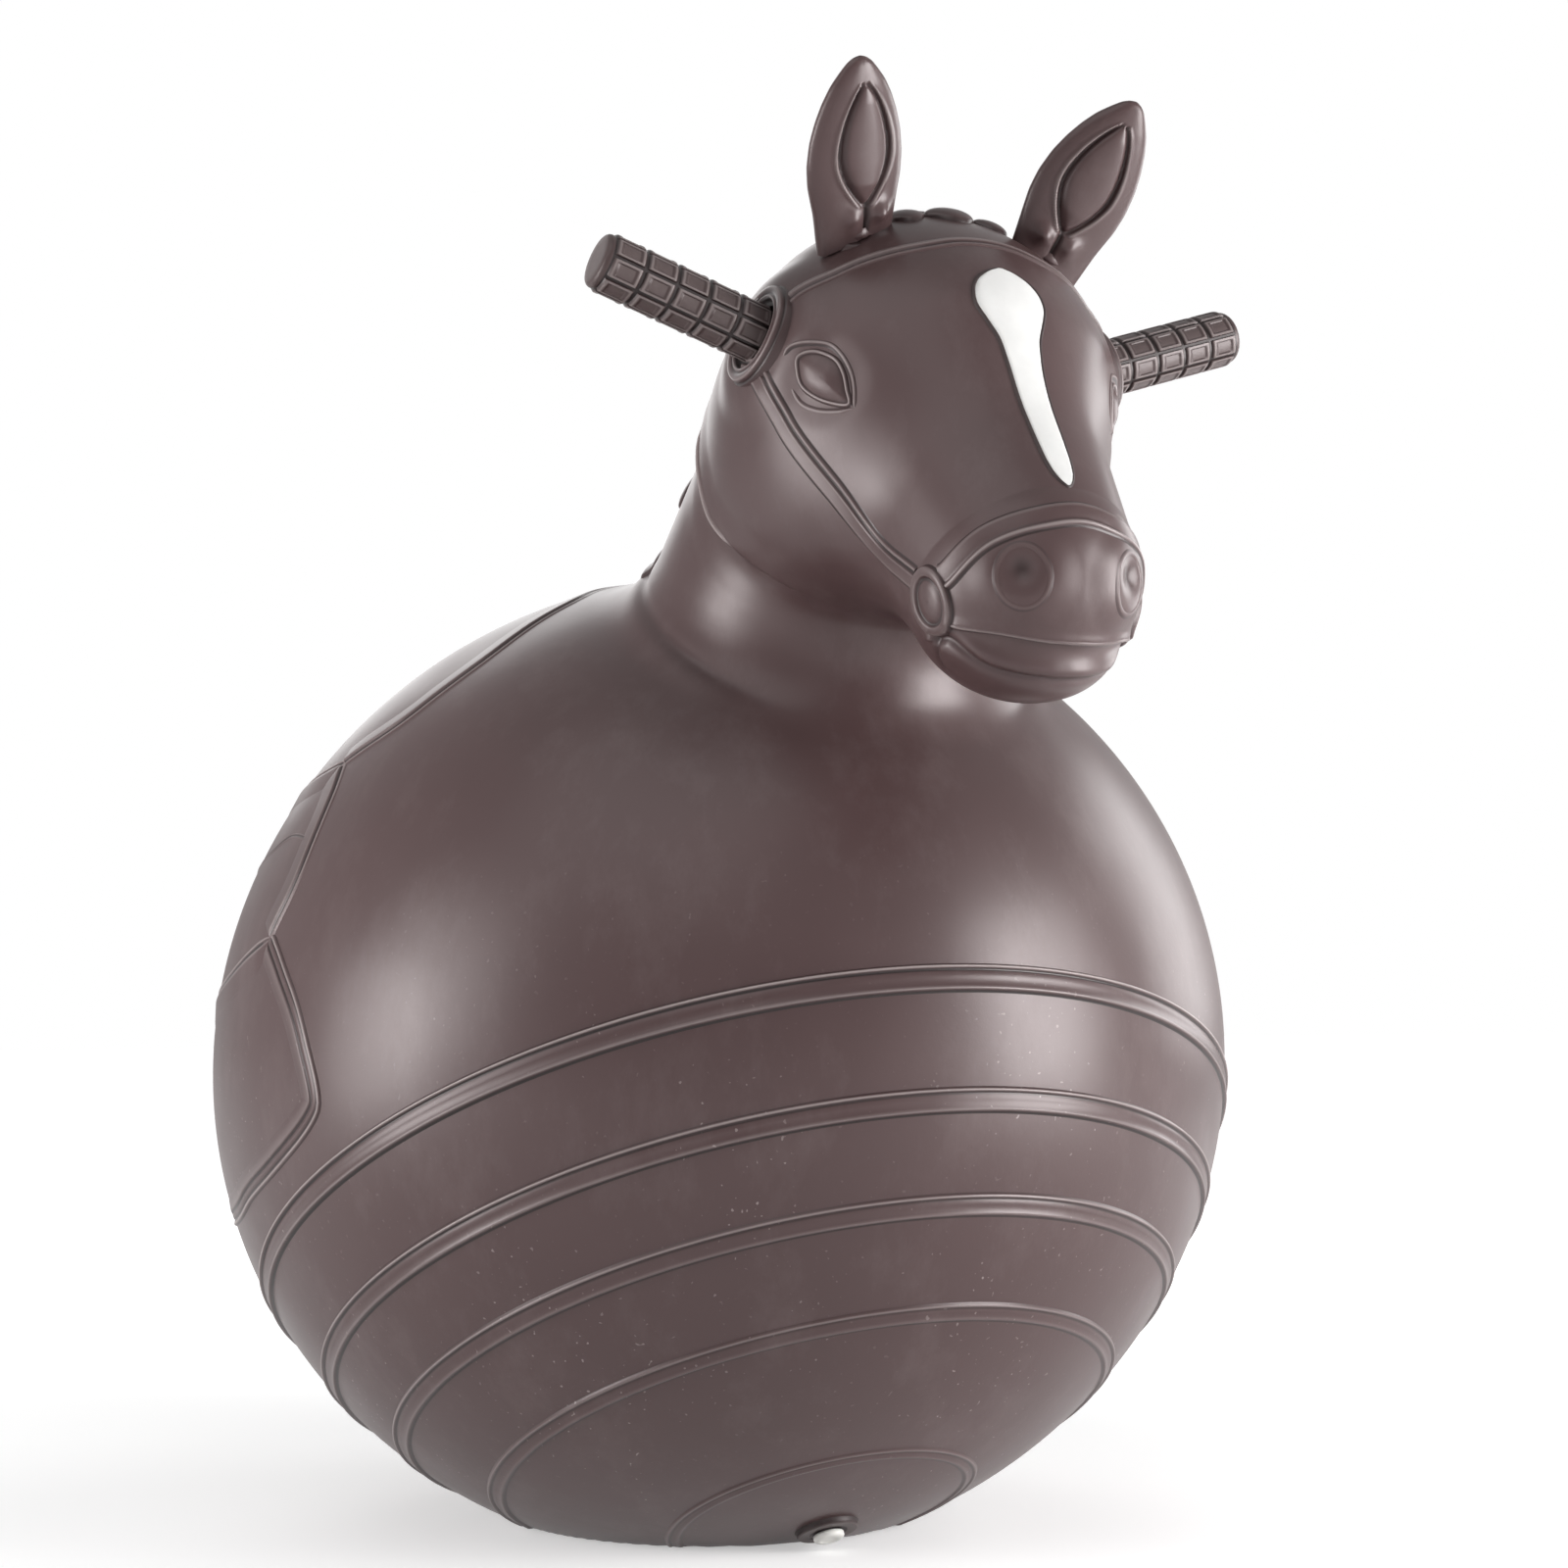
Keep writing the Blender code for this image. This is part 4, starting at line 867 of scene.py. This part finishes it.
# lids: from outside to inside the eye; the third column is painted shade below 0 and painted highlight
# above
LID = ((-1.7, -0.3, -0.3), (-1.1, 0.25, -0.6), (-0.6, 0.95, 0.1), (0.0, 1.25, 0.75), (0.5, 1.0, 0.3),
       (0.9, 0.4, -0.7), (1.6, 0.1, -0.9), (2.3, -0.3, -0.4))
BROW_LID = ((-1.6, -0.3, -0.2), (-1.0, 0.4, 0.0), (-0.4, 0.9, 0.55), (0.2, 0.85, 0.35), (0.7, 0.35, -0.7),
            (1.4, 0.05, -0.8), (2.1, -0.3, -0.3))
UNDER_LID = ((-1.8, -0.3, 0.0), (-0.9, 0.25, 0.1), (0.0, 0.5, 0.35), (0.6, 0.25, -0.4), (1.3, 0.02, -0.4),
             (2.0, -0.3, -0.1))


def make_eyes():
    pile = Pile()
    lines = (on_head(EYE_RIM, closed=True, step=EYE_STEP), on_head(EYE_LID, step=EYE_STEP),
             on_head(EYE_UNDER, step=EYE_STEP))
    for rim, lid, under in zip(*map(both_ways, lines)):
        middle = rim.mean(axis=0)
        rows = []
        tones = []
        # the eyeball's outer fifth darkens with painted shade where it meets the lids
        for share in np.linspace(0.02, 1.0, 16):
            p = settled(middle + (rim - middle) * share)
            rows.append(raised(p, MM * (3.4 * (1.0 - share ** 2.2) - 0.2)))
            tones.append(np.full(len(p), -0.7 * max(0.0, share - 0.80) / 0.20))
        pile.rows(rows, tones, laid=True)
        strip(pile, rim, LID, closed=True)
        strip(pile, lid, BROW_LID, ease=0.003)
        strip(pile, under, UNDER_LID, ease=0.006)
    eyes = pile.made("eyes", SKIN, "horse")


def make_mane():
    """Plaited mane: rows of lens-shaped knots over the crest, a large one with a smaller one each side."""
    pile = Pile()
    places = []
    for turn, tall in ((-20.0, 4.8), (1.0, 5.2), (24.0, 5.5), (48.0, 6.0)):
        way = point(sin(radians(turn)), cos(radians(turn)))
        places.append((HEAD, way, 0.0, 13.0, tall))
        places += [(HEAD, way, shift, 9.5, 0.8 * tall) for shift in (22.0, -22.0)]
    back = point(UP_NECK[2], -UP_NECK[1])
    for share, reach in ((0.05, 54.0), (0.25, 60.0), (0.46, 64.0)):
        start = NECK_TOP + (NECK_ROOT - NECK_TOP) * share
        places.append((start, back, 0.0, 27.0, 4.5))
        places += [(start, back, shift, 31.0, 3.4) for shift in (reach, -reach)]
    s = np.linspace(-1.0, 1.0, 33)
    v = np.linspace(-1.0, 1.0, 21)
    s, v = np.meshgrid(s, v, indexing="ij")
    for start, way, shift, wide, tall in places:
        foot = cast(start[None], way[None])[0]
        radius = np.linalg.norm(foot - start)
        turn = shift * MM / radius
        swung = way * cos(turn) + ACROSS * sin(turn)
        foot = cast(start[None], swung[None])[0]
        n0 = steepest(foot[None])[0]
        along = unit(np.cross(n0, ACROSS))
        wing = np.cross(along, n0)
        x = wide * MM * s
        t = (11.5 if shift == 0.0 else 10.0) * MM * (1.0 - 0.92 * s * s) * v
        p = settled((foot + x[..., None] * wing + t[..., None] * along).reshape(-1, 3))
        body = np.clip(1.0 - s * s, 0.0, 1.0) ** 0.45 * np.clip(1.0 - v * v, 0.0, 1.0) ** 0.5
        height = (MM * (tall * body - 0.3)).ravel()
        # painted shade over each knot, darkest along its edges
        edge = -0.25 - 0.6 * np.clip((np.abs(v) - 0.80) / 0.20, 0.0, 1.0).ravel()
        pile.add(raised(p, height), grid_quads(s.shape[0], s.shape[1], False), edge, laid=True)
    mane = pile.made("mane", SKIN, "horse")


# collar: radius, height over the handle's foot and painted shade and highlight, from its skirt over a
# double rim to the socket
COLLAR = ((24.4, -16.0, 0.0), (24.2, -0.4, -0.3), (23.7, 0.2, -0.9), (23.2, 0.4, -0.8), (22.9, 1.8, -0.1),
          (22.4, 2.8, 0.45), (21.7, 3.0, 0.2), (20.6, 2.9, -0.05), (19.6, 2.7, -0.1), (19.2, 2.3, -0.75),
          (18.6, 2.3, -0.65), (18.2, 2.7, 0.0), (17.6, 2.9, 0.4), (17.0, 2.6, 0.0), (16.6, 1.6, -0.5),
          (16.2, -0.2, -0.85), (15.4, -0.8, -0.9), (14.6, -1.0, -0.95), (14.3, -5.0, -0.95),
          (10.2, -5.2, -0.95), (9.8, -5.6, -0.9), (9.8, -45.8, -0.9), (0.1, -46.0, -0.9))
# ear cup: the same columns, with painted shade deepening into the socket
EAR_CUP = ((13.5, -6.0, 0.0), (11.5, -1.5, -0.2), (10.5, 0.2, -0.5), (9.5, 0.8, -0.6), (6.5, 0.8, -0.8),
           (6.3, -17.5, -0.9), (0.1, -17.6, -0.9))


def make_collars():
    pile = Pile()
    for side in (-1.0, 1.0):
        foot, axis = handle_place(side)
        turned(pile, [c[:2] for c in COLLAR], foot, axis, 96, [c[2] for c in COLLAR])
        foot, axis = ear_place(side)
        turned(pile, [c[:2] for c in EAR_CUP], foot, axis, 48, [c[2] for c in EAR_CUP])
    collars = pile.made("collars", SKIN, "horse", 50)


def block_step(t, edge, slope):
    """1 inside a block, 0 in the groove; t runs 0 to 1 across one block's pitch."""
    return ramp(np.minimum(t, 1.0 - t), edge, edge + slope)


def make_grip(side, word):
    foot, axis = handle_place(side)
    basis = frame_on(axis)
    n = GRIP_ROUND * 26
    plain = 0.2
    bend = 2.4
    length = GRIP_LENGTH / MM
    pitch = (length - plain - 3.2) / GRIP_ROWS
    marks = np.concatenate([[0.0], plain + np.linspace(0.0, pitch * GRIP_ROWS, GRIP_ROWS * 28 + 1),
                            length - np.array([2.8, 2.4, 1.8, 1.2, 0.6, 0.2, 0.0])])
    turn = (np.arange(n) + 0.5) / n
    across = (turn * GRIP_ROUND) % 1.0
    a = TAU * turn
    start = GRIP_START / MM
    rows = []
    tones = []
    groove = (GRIP_RADIUS - GRIP_GROOVE) / MM
    for h in marks:
        t = (h - plain) / pitch
        in_rows = 0.0 <= t <= GRIP_ROWS
        t = np.full(n, t % 1.0 if in_rows else 0.0)
        block = block_step(t, 0.05, 0.035) * block_step(across, 0.055, 0.04)
        inset = block_step(t, 0.20, 0.04) * block_step(across, 0.21, 0.04)
        r = groove + 1.10 * block - 0.45 * inset
        near_end = length - h
        if near_end < bend:
            r = r - bend + bend * sqrt(max(0.0, 1.0 - ((bend - near_end) / bend) ** 2))
        # painted shade in the grooves between blocks and on their inner walls, painted highlight on their
        # raised rims
        rim = block * (1.0 - inset)
        tone = -0.95 * (1.0 - block) * in_rows + 0.42 * rim
        wall = block_step(t, 0.16, 0.04) * block_step(across, 0.17, 0.04) - inset
        rows.append(circle(foot, basis, a, r, start + h))
        tones.append(tone - 0.85 * wall + 0.10 * inset)
    for share in (0.7, 0.35, 0.01):
        rows.append(circle(foot, basis, a, share * r, start + h))
        tones.append(np.zeros(n))
    # the hollow foot, seen when the handle is drawn out, darkened with painted shade
    for r, h in ((groove - 1.2, 0.0), (CORE_RADIUS / MM + 0.2, 0.2)):
        rows.insert(0, circle(foot, basis, a, r, start + h))
        tones.insert(0, np.full(n, -0.3))
    pile = Pile()
    pile.rows(rows, tones)
    grip = pile.made("grip_" + word, GRIP, word + "_handle", 40)
    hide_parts("grip_sleeve_" + word)
    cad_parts["handle_core_" + word].data.materials.clear()
    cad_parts["handle_core_" + word].data.materials.append(CORE)


EAR_STATIONS = ((0.0, 0.78, 0.9), (0.08, 0.83, 0.94), (0.17, 0.89, 0.97), (0.3, 0.98, 1.0),
                (0.42, 1.0, 1.0), (0.55, 0.95, 0.97), (0.66, 0.85, 0.92), (0.76, 0.72, 0.85),
                (0.85, 0.56, 0.74), (0.92, 0.38, 0.58), (0.965, 0.25, 0.42), (0.99, 0.13, 0.24),
                (1.0, 0.02, 0.04))


def smoothed(s, places, values):
    """Values between stations, rounded off."""
    v = np.interp(s, places, values)
    for _ in range(3):
        v[1:-1] = 0.25 * v[:-2] + 0.5 * v[1:-1] + 0.25 * v[2:]
    return v


def make_ear(side, word):
    """Leaf with a stout rolled rim, a valley inside it and a swelling inner leaf, on a stem."""
    foot, axis = ear_place(side)
    basis = frame_on(axis)
    known = np.array(EAR_STATIONS)
    s = 0.5 - 0.5 * np.cos(pi * np.linspace(0.0, 1.0, 97))
    wide = smoothed(s, known[:, 0], known[:, 1])
    thick = smoothed(s, known[:, 0], known[:, 2])
    front = 90
    rear = 40
    u = np.concatenate([np.cos(pi * np.arange(front) / front), -np.cos(pi * np.arange(rear) / rear)])
    rows = []
    tones = []
    for k, place in enumerate(s):
        w = wide[k] * EAR_HALF_WIDTH
        t = 0.5 * thick[k] * EAR_THICKNESS
        leaf = np.clip((place - 0.17) / 0.69, 0.0, 1.0)
        edge = 0.52 * sin(0.5 * pi * min(1.0, 2.1 * leaf)) ** 0.8
        edge *= sqrt(1.0 - max(0.0, (leaf - 0.45) / 0.55) ** 2.2)
        b = np.abs(u[:front])
        a = np.abs(u[:front] - 0.05 * side)
        # the rim swells all round, a thin ridge and a groove frame the leaf, and the leaf swells again;
        # painted shade lies in the groove and a painted highlight on the ridge
        y = t * np.clip(1.0 - b ** 2.6, 0.0, 1.0) ** 0.5
        tone = np.zeros(front)
        if edge > 0.04:
            step = 0.075
            y = y + 0.14 * t * bell(a - edge - 1.4 * step, 0.7 * step)
            y = y - 0.30 * t * bell(a - edge, 0.8 * step)
            y = y - 0.10 * t * ramp(a, edge, edge - step)
            y = y + t * 0.42 * np.sqrt(np.clip(1.0 - (a / edge) ** 2, 0.0, 1.0)) * min(1.0, edge / 0.35)
            tone = tone - 0.55 * bell(a - edge, 0.045) + 0.55 * bell(a - edge - 0.10, 0.030)
        # below the leaf two folds curl in, the outer one the fuller
        fold = bell(place - 0.12, 0.055)
        outer = bell(u[:front] - 0.10 * side - 0.36 * side, 0.24)
        inner = bell(u[:front] - 0.10 * side + 0.34 * side, 0.22)
        y = y + t * fold * (0.55 * outer + 0.35 * inner)
        # the seam between the folds carries painted shade
        seam = bell(u[:front] - 0.08 * side, 0.05) * ramp(place, 0.21, 0.15)
        y = y - 0.35 * t * seam
        tone = tone - 0.75 * seam
        back = -t * 0.95 * np.sqrt(np.clip(1.0 - u[front:] ** 2, 0.0, 1.0))
        y = np.concatenate([y, back])
        bow = 0.10 * EAR_LENGTH * (place * place - place)
        local = np.stack([w * u, y + bow, np.full(len(u), EAR_SEAT + place * EAR_LENGTH)], 1)
        points = foot + local @ basis.T
        if k == 0:
            # the foot reaches down to the head all round
            drop = np.clip(skin_form(points) - 0.4 * MM, 0.0, 0.007)
        rows.append(points - axis * (drop * ramp(place, 0.16, 0.0))[:, None])
        tones.append(np.concatenate([tone, np.zeros(rear)]))
    pile = Pile()
    pile.rows(rows, tones)
    turned(pile, ((0.1, -15.7), (5.0, -15.7), (6.0, -14.5), (6.0, 1.0), (7.5, 2.2), (8.0, 3.0), (6.0, 6.0)),
           foot, axis, 48)
    ear = pile.made("leaf_ear_" + word, SKIN, word + "_ear")
    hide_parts("ear_" + word)


# blaze: half width in mm; share of its length and of that width
BLAZE_HALF_WIDTH = 17.8
BLAZE = ((0.0, 0.05), (0.02, 0.4), (0.06, 0.76), (0.11, 0.94), (0.17, 1.0), (0.23, 0.86), (0.31, 0.6),
         (0.45, 0.48), (0.6, 0.45), (0.75, 0.41), (0.87, 0.36), (0.94, 0.27), (0.98, 0.15), (1.0, 0.03))
BLAZE_EDGE = ((-0.9, -0.2, 0.0), (-0.6, 0.45, 0.0), (-0.1, 0.72, 0.0), (0.35, 0.72, 0.0), (0.8, 0.4, 0.0),
              (1.1, -0.2, 0.0))


def make_blaze():
    top = HEAD + point(-0.072, 0.041)
    tip = HEAD + point(-0.126, -0.064)
    known = np.array(BLAZE)
    s = 0.5 - 0.5 * np.cos(pi * np.linspace(0.0, 1.0, 91))
    half = smoothed(s, known[:, 0], known[:, 1]) * BLAZE_HALF_WIDTH * MM
    c = np.linspace(-1.0, 1.0, 17)
    base = top + (tip - top) * s[:, None]
    p = base[:, None, :] + (half[:, None] * c[None])[..., None] * ACROSS
    p = settled(p.reshape(-1, 3))
    lift = np.where(np.tile(np.abs(c) > 0.99, len(s)), 0.15 * MM, 0.75 * MM)
    pile = Pile()
    pile.add(raised(p, lift), grid_quads(len(s), len(c), False), laid=True)
    white = pile.made("blaze", WHITE, "horse")
    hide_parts("forehead_blaze")
    grid = p.reshape(len(s), len(c), 3)
    loop = spline(np.concatenate([grid[::5, 0], grid[::-5, -1]]), 1.0 * MM, closed=True)
    pile = Pile()
    strip(pile, settled(loop), BLAZE_EDGE, closed=True)
    edge = pile.made("blaze_edge", DARK, "horse")


def make_valve():
    pile = Pile()
    r = VALVE_RING / MM
    # the ring's tones: painted shade at its foot and in its opening, painted highlight on its rim
    turned(pile, ((r + 1.5, -1.5), (r, 0.3), (r, 1.8), (r - 0.7, 2.5), (9.6, 2.5), (9.2, 2.1), (8.6, 2.0),
                  (4.8, 2.3), (4.8, -12.0)),
           POLE, -AXIS, 64, (0, -0.4, 0, 0.2, 0.1, -0.4, -0.6, -0.4, -0.8))
    ring = pile.made("valve_ring", DARK, "horse", 40)
    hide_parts("valve_seat")
    pile = Pile()
    q = PLUG_RADIUS / MM
    turned(pile, ((0.05, -14.0), (3.4, -14.0), (4.4, -12.5), (4.4, 2.8), (q - 0.3, 2.8), (q, 3.2), (q, 4.7),
                  (q - 0.4, 5.5), (q - 1.3, 6.0), (4.6, 6.0), (4.2, 5.6), (3.6, 5.5), (0.05, 5.6)),
           POLE, -AXIS, 64)
    plug = pile.made("plug_cap", PLUG, "plug", 40)
    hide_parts("valve_plug")


make_skin()
make_ribs()
make_saddle()
make_bridle()
make_rosettes()
make_face_lines()
make_eyes()
make_mane()
make_collars()
for way, word in ((1.0, "left"), (-1.0, "right")):
    make_grip(way, word)
    make_ear(way, word)
make_blaze()
make_valve()


# Stage: pale floor, white surround, soft boxes and the camera

def shown(tree, glints):
    """1 for rays that meet the surround directly or through something clear, less for mirrored ones."""
    path = tree.nodes.new("ShaderNodeLightPath")
    glint = tree.nodes.new("ShaderNodeMath")
    glint.operation = "MULTIPLY"
    glint.inputs[1].default_value = glints
    tree.links.new(path.outputs["Is Glossy Ray"], glint.inputs[0])
    total = path.outputs["Is Camera Ray"]
    for other in (path.outputs["Is Transmission Ray"], glint.outputs[0]):
        more = tree.nodes.new("ShaderNodeMath")
        more.operation = "MAXIMUM"
        tree.links.new(total, more.inputs[0])
        tree.links.new(other, more.inputs[1])
        total = more.outputs[0]
    return total


def make_floor():
    n = Nodes("floor")
    fill(n.shader, {"Base Color": (0.88, 0.88, 0.88, 1.0), "Roughness": 0.9, "Specular IOR Level": 0.0})
    seen = shown(n.tree, 0.7)
    glow = n.add("ShaderNodeEmission")
    # white far off, a little under white near the object, where its shadow falls
    place = n.add("ShaderNodeTexCoord")
    far = n.add("ShaderNodeVectorMath", operation="LENGTH")
    n.wire(place.outputs["Object"], far.inputs[0])
    n.wire(n.spread(far.outputs["Value"], 0.35, 2.4, 0.42, 1.0), glow.inputs["Strength"])
    none = n.add("ShaderNodeEmission")
    fill(none, {"Strength": 0.0})
    pick = n.add("ShaderNodeMixShader")
    both = n.add("ShaderNodeAddShader")
    n.wire(seen, pick.inputs[0])
    n.wire(none.outputs[0], pick.inputs[1])
    n.wire(glow.outputs[0], pick.inputs[2])
    n.wire(n.shader.outputs[0], both.inputs[0])
    n.wire(pick.outputs[0], both.inputs[1])
    n.wire(both.outputs[0], n.tree.nodes["Material Output"].inputs["Surface"])
    mesh = bpy.data.meshes.new("floor")
    mesh.from_pydata([(-9, -9, 0), (9, -9, 0), (9, 9, 0), (-9, 9, 0)], [], [(0, 1, 2, 3)])
    mesh.materials.append(n.material)
    floor = bpy.data.objects.new("floor", mesh)
    floor.location.z = -0.0006
    bpy.context.scene.collection.objects.link(floor)


def make_world():
    world = bpy.data.worlds.new("surround")
    bpy.context.scene.world = world
    world.use_nodes = True
    tree = world.node_tree
    lit = tree.nodes["Background"]
    fill(lit, {"Color": (1.0, 1.0, 1.0, 1.0), "Strength": 0.08})
    seen = tree.nodes.new("ShaderNodeBackground")
    fill(seen, {"Color": (1.0, 1.0, 1.0, 1.0)})
    mix = tree.nodes.new("ShaderNodeMixShader")
    tree.links.new(shown(tree, 0.50), mix.inputs[0])
    tree.links.new(lit.outputs[0], mix.inputs[1])
    tree.links.new(seen.outputs[0], mix.inputs[2])
    tree.links.new(mix.outputs[0], tree.nodes["World Output"].inputs["Surface"])


RIGHT = np.array([cos(CAMERA_TURN), -sin(CAMERA_TURN), 0.0])
BACK = np.array([-sin(CAMERA_TURN) * cos(CAMERA_PITCH), -cos(CAMERA_TURN) * cos(CAMERA_PITCH),
                 -sin(CAMERA_PITCH)])


def matrix_of(x, y, z, place):
    m = np.eye(4)
    m[:3, 0] = x
    m[:3, 1] = y
    m[:3, 2] = z
    m[:3, 3] = place
    return Matrix(m.tolist())


def soft_box(name, way, far, wide, tall, power):
    """A rectangular lamp; its direction is given as camera's right, up and towards the camera."""
    level = np.array([BACK[0], BACK[1], 0.0])
    z = unit(way[0] * RIGHT + way[1] * UP + way[2] * level / np.linalg.norm(level))
    x = unit(np.cross(UP, z))
    lamp = bpy.data.lights.new(name, "AREA")
    lamp.shape = "RECTANGLE"
    lamp.size = wide
    lamp.size_y = tall
    lamp.energy = power
    thing = bpy.data.objects.new(name, lamp)
    bpy.context.scene.collection.objects.link(thing)
    thing.matrix_world = matrix_of(x, np.cross(z, x), z, point(-0.1, 0.34) + z * far)


# lamps: name, direction, distance, width, height and watts
LAMPS = (
    ("left_low_box", (-0.93, -0.06, 0.28), 1.7, 0.7, 0.9, 14.5),
    ("left_front_box", (-0.84, 0.18, 0.46), 1.7, 0.8, 0.9, 8.5),
    ("right_box", (0.94, 0.04, 0.31), 1.7, 0.8, 1.2, 39.0),
    ("right_back_box", (0.8, 0.22, -0.55), 1.7, 0.8, 1.0, 9.5),
    ("back_box", (-0.2, 0.45, -0.87), 2.0, 1.4, 1.2, 9.0),
    ("high_box", (-0.25, 0.75, 0.55), 2.3, 2.2, 1.8, 12.0))


def make_camera():
    data = bpy.data.cameras.new("camera")
    data.sensor_width = 36.0
    data.lens = CAMERA_LENS
    camera = bpy.data.objects.new("camera", data)
    bpy.context.scene.collection.objects.link(camera)
    camera.matrix_world = matrix_of(RIGHT, np.cross(BACK, RIGHT), BACK, np.array(CAMERA_PLACE))
    bpy.context.scene.camera = camera


make_floor()
make_world()
for lamp in LAMPS:
    soft_box(*lamp)
make_camera()
bpy.context.scene.view_settings.view_transform = "Standard"

bpy.context.view_layer.update()
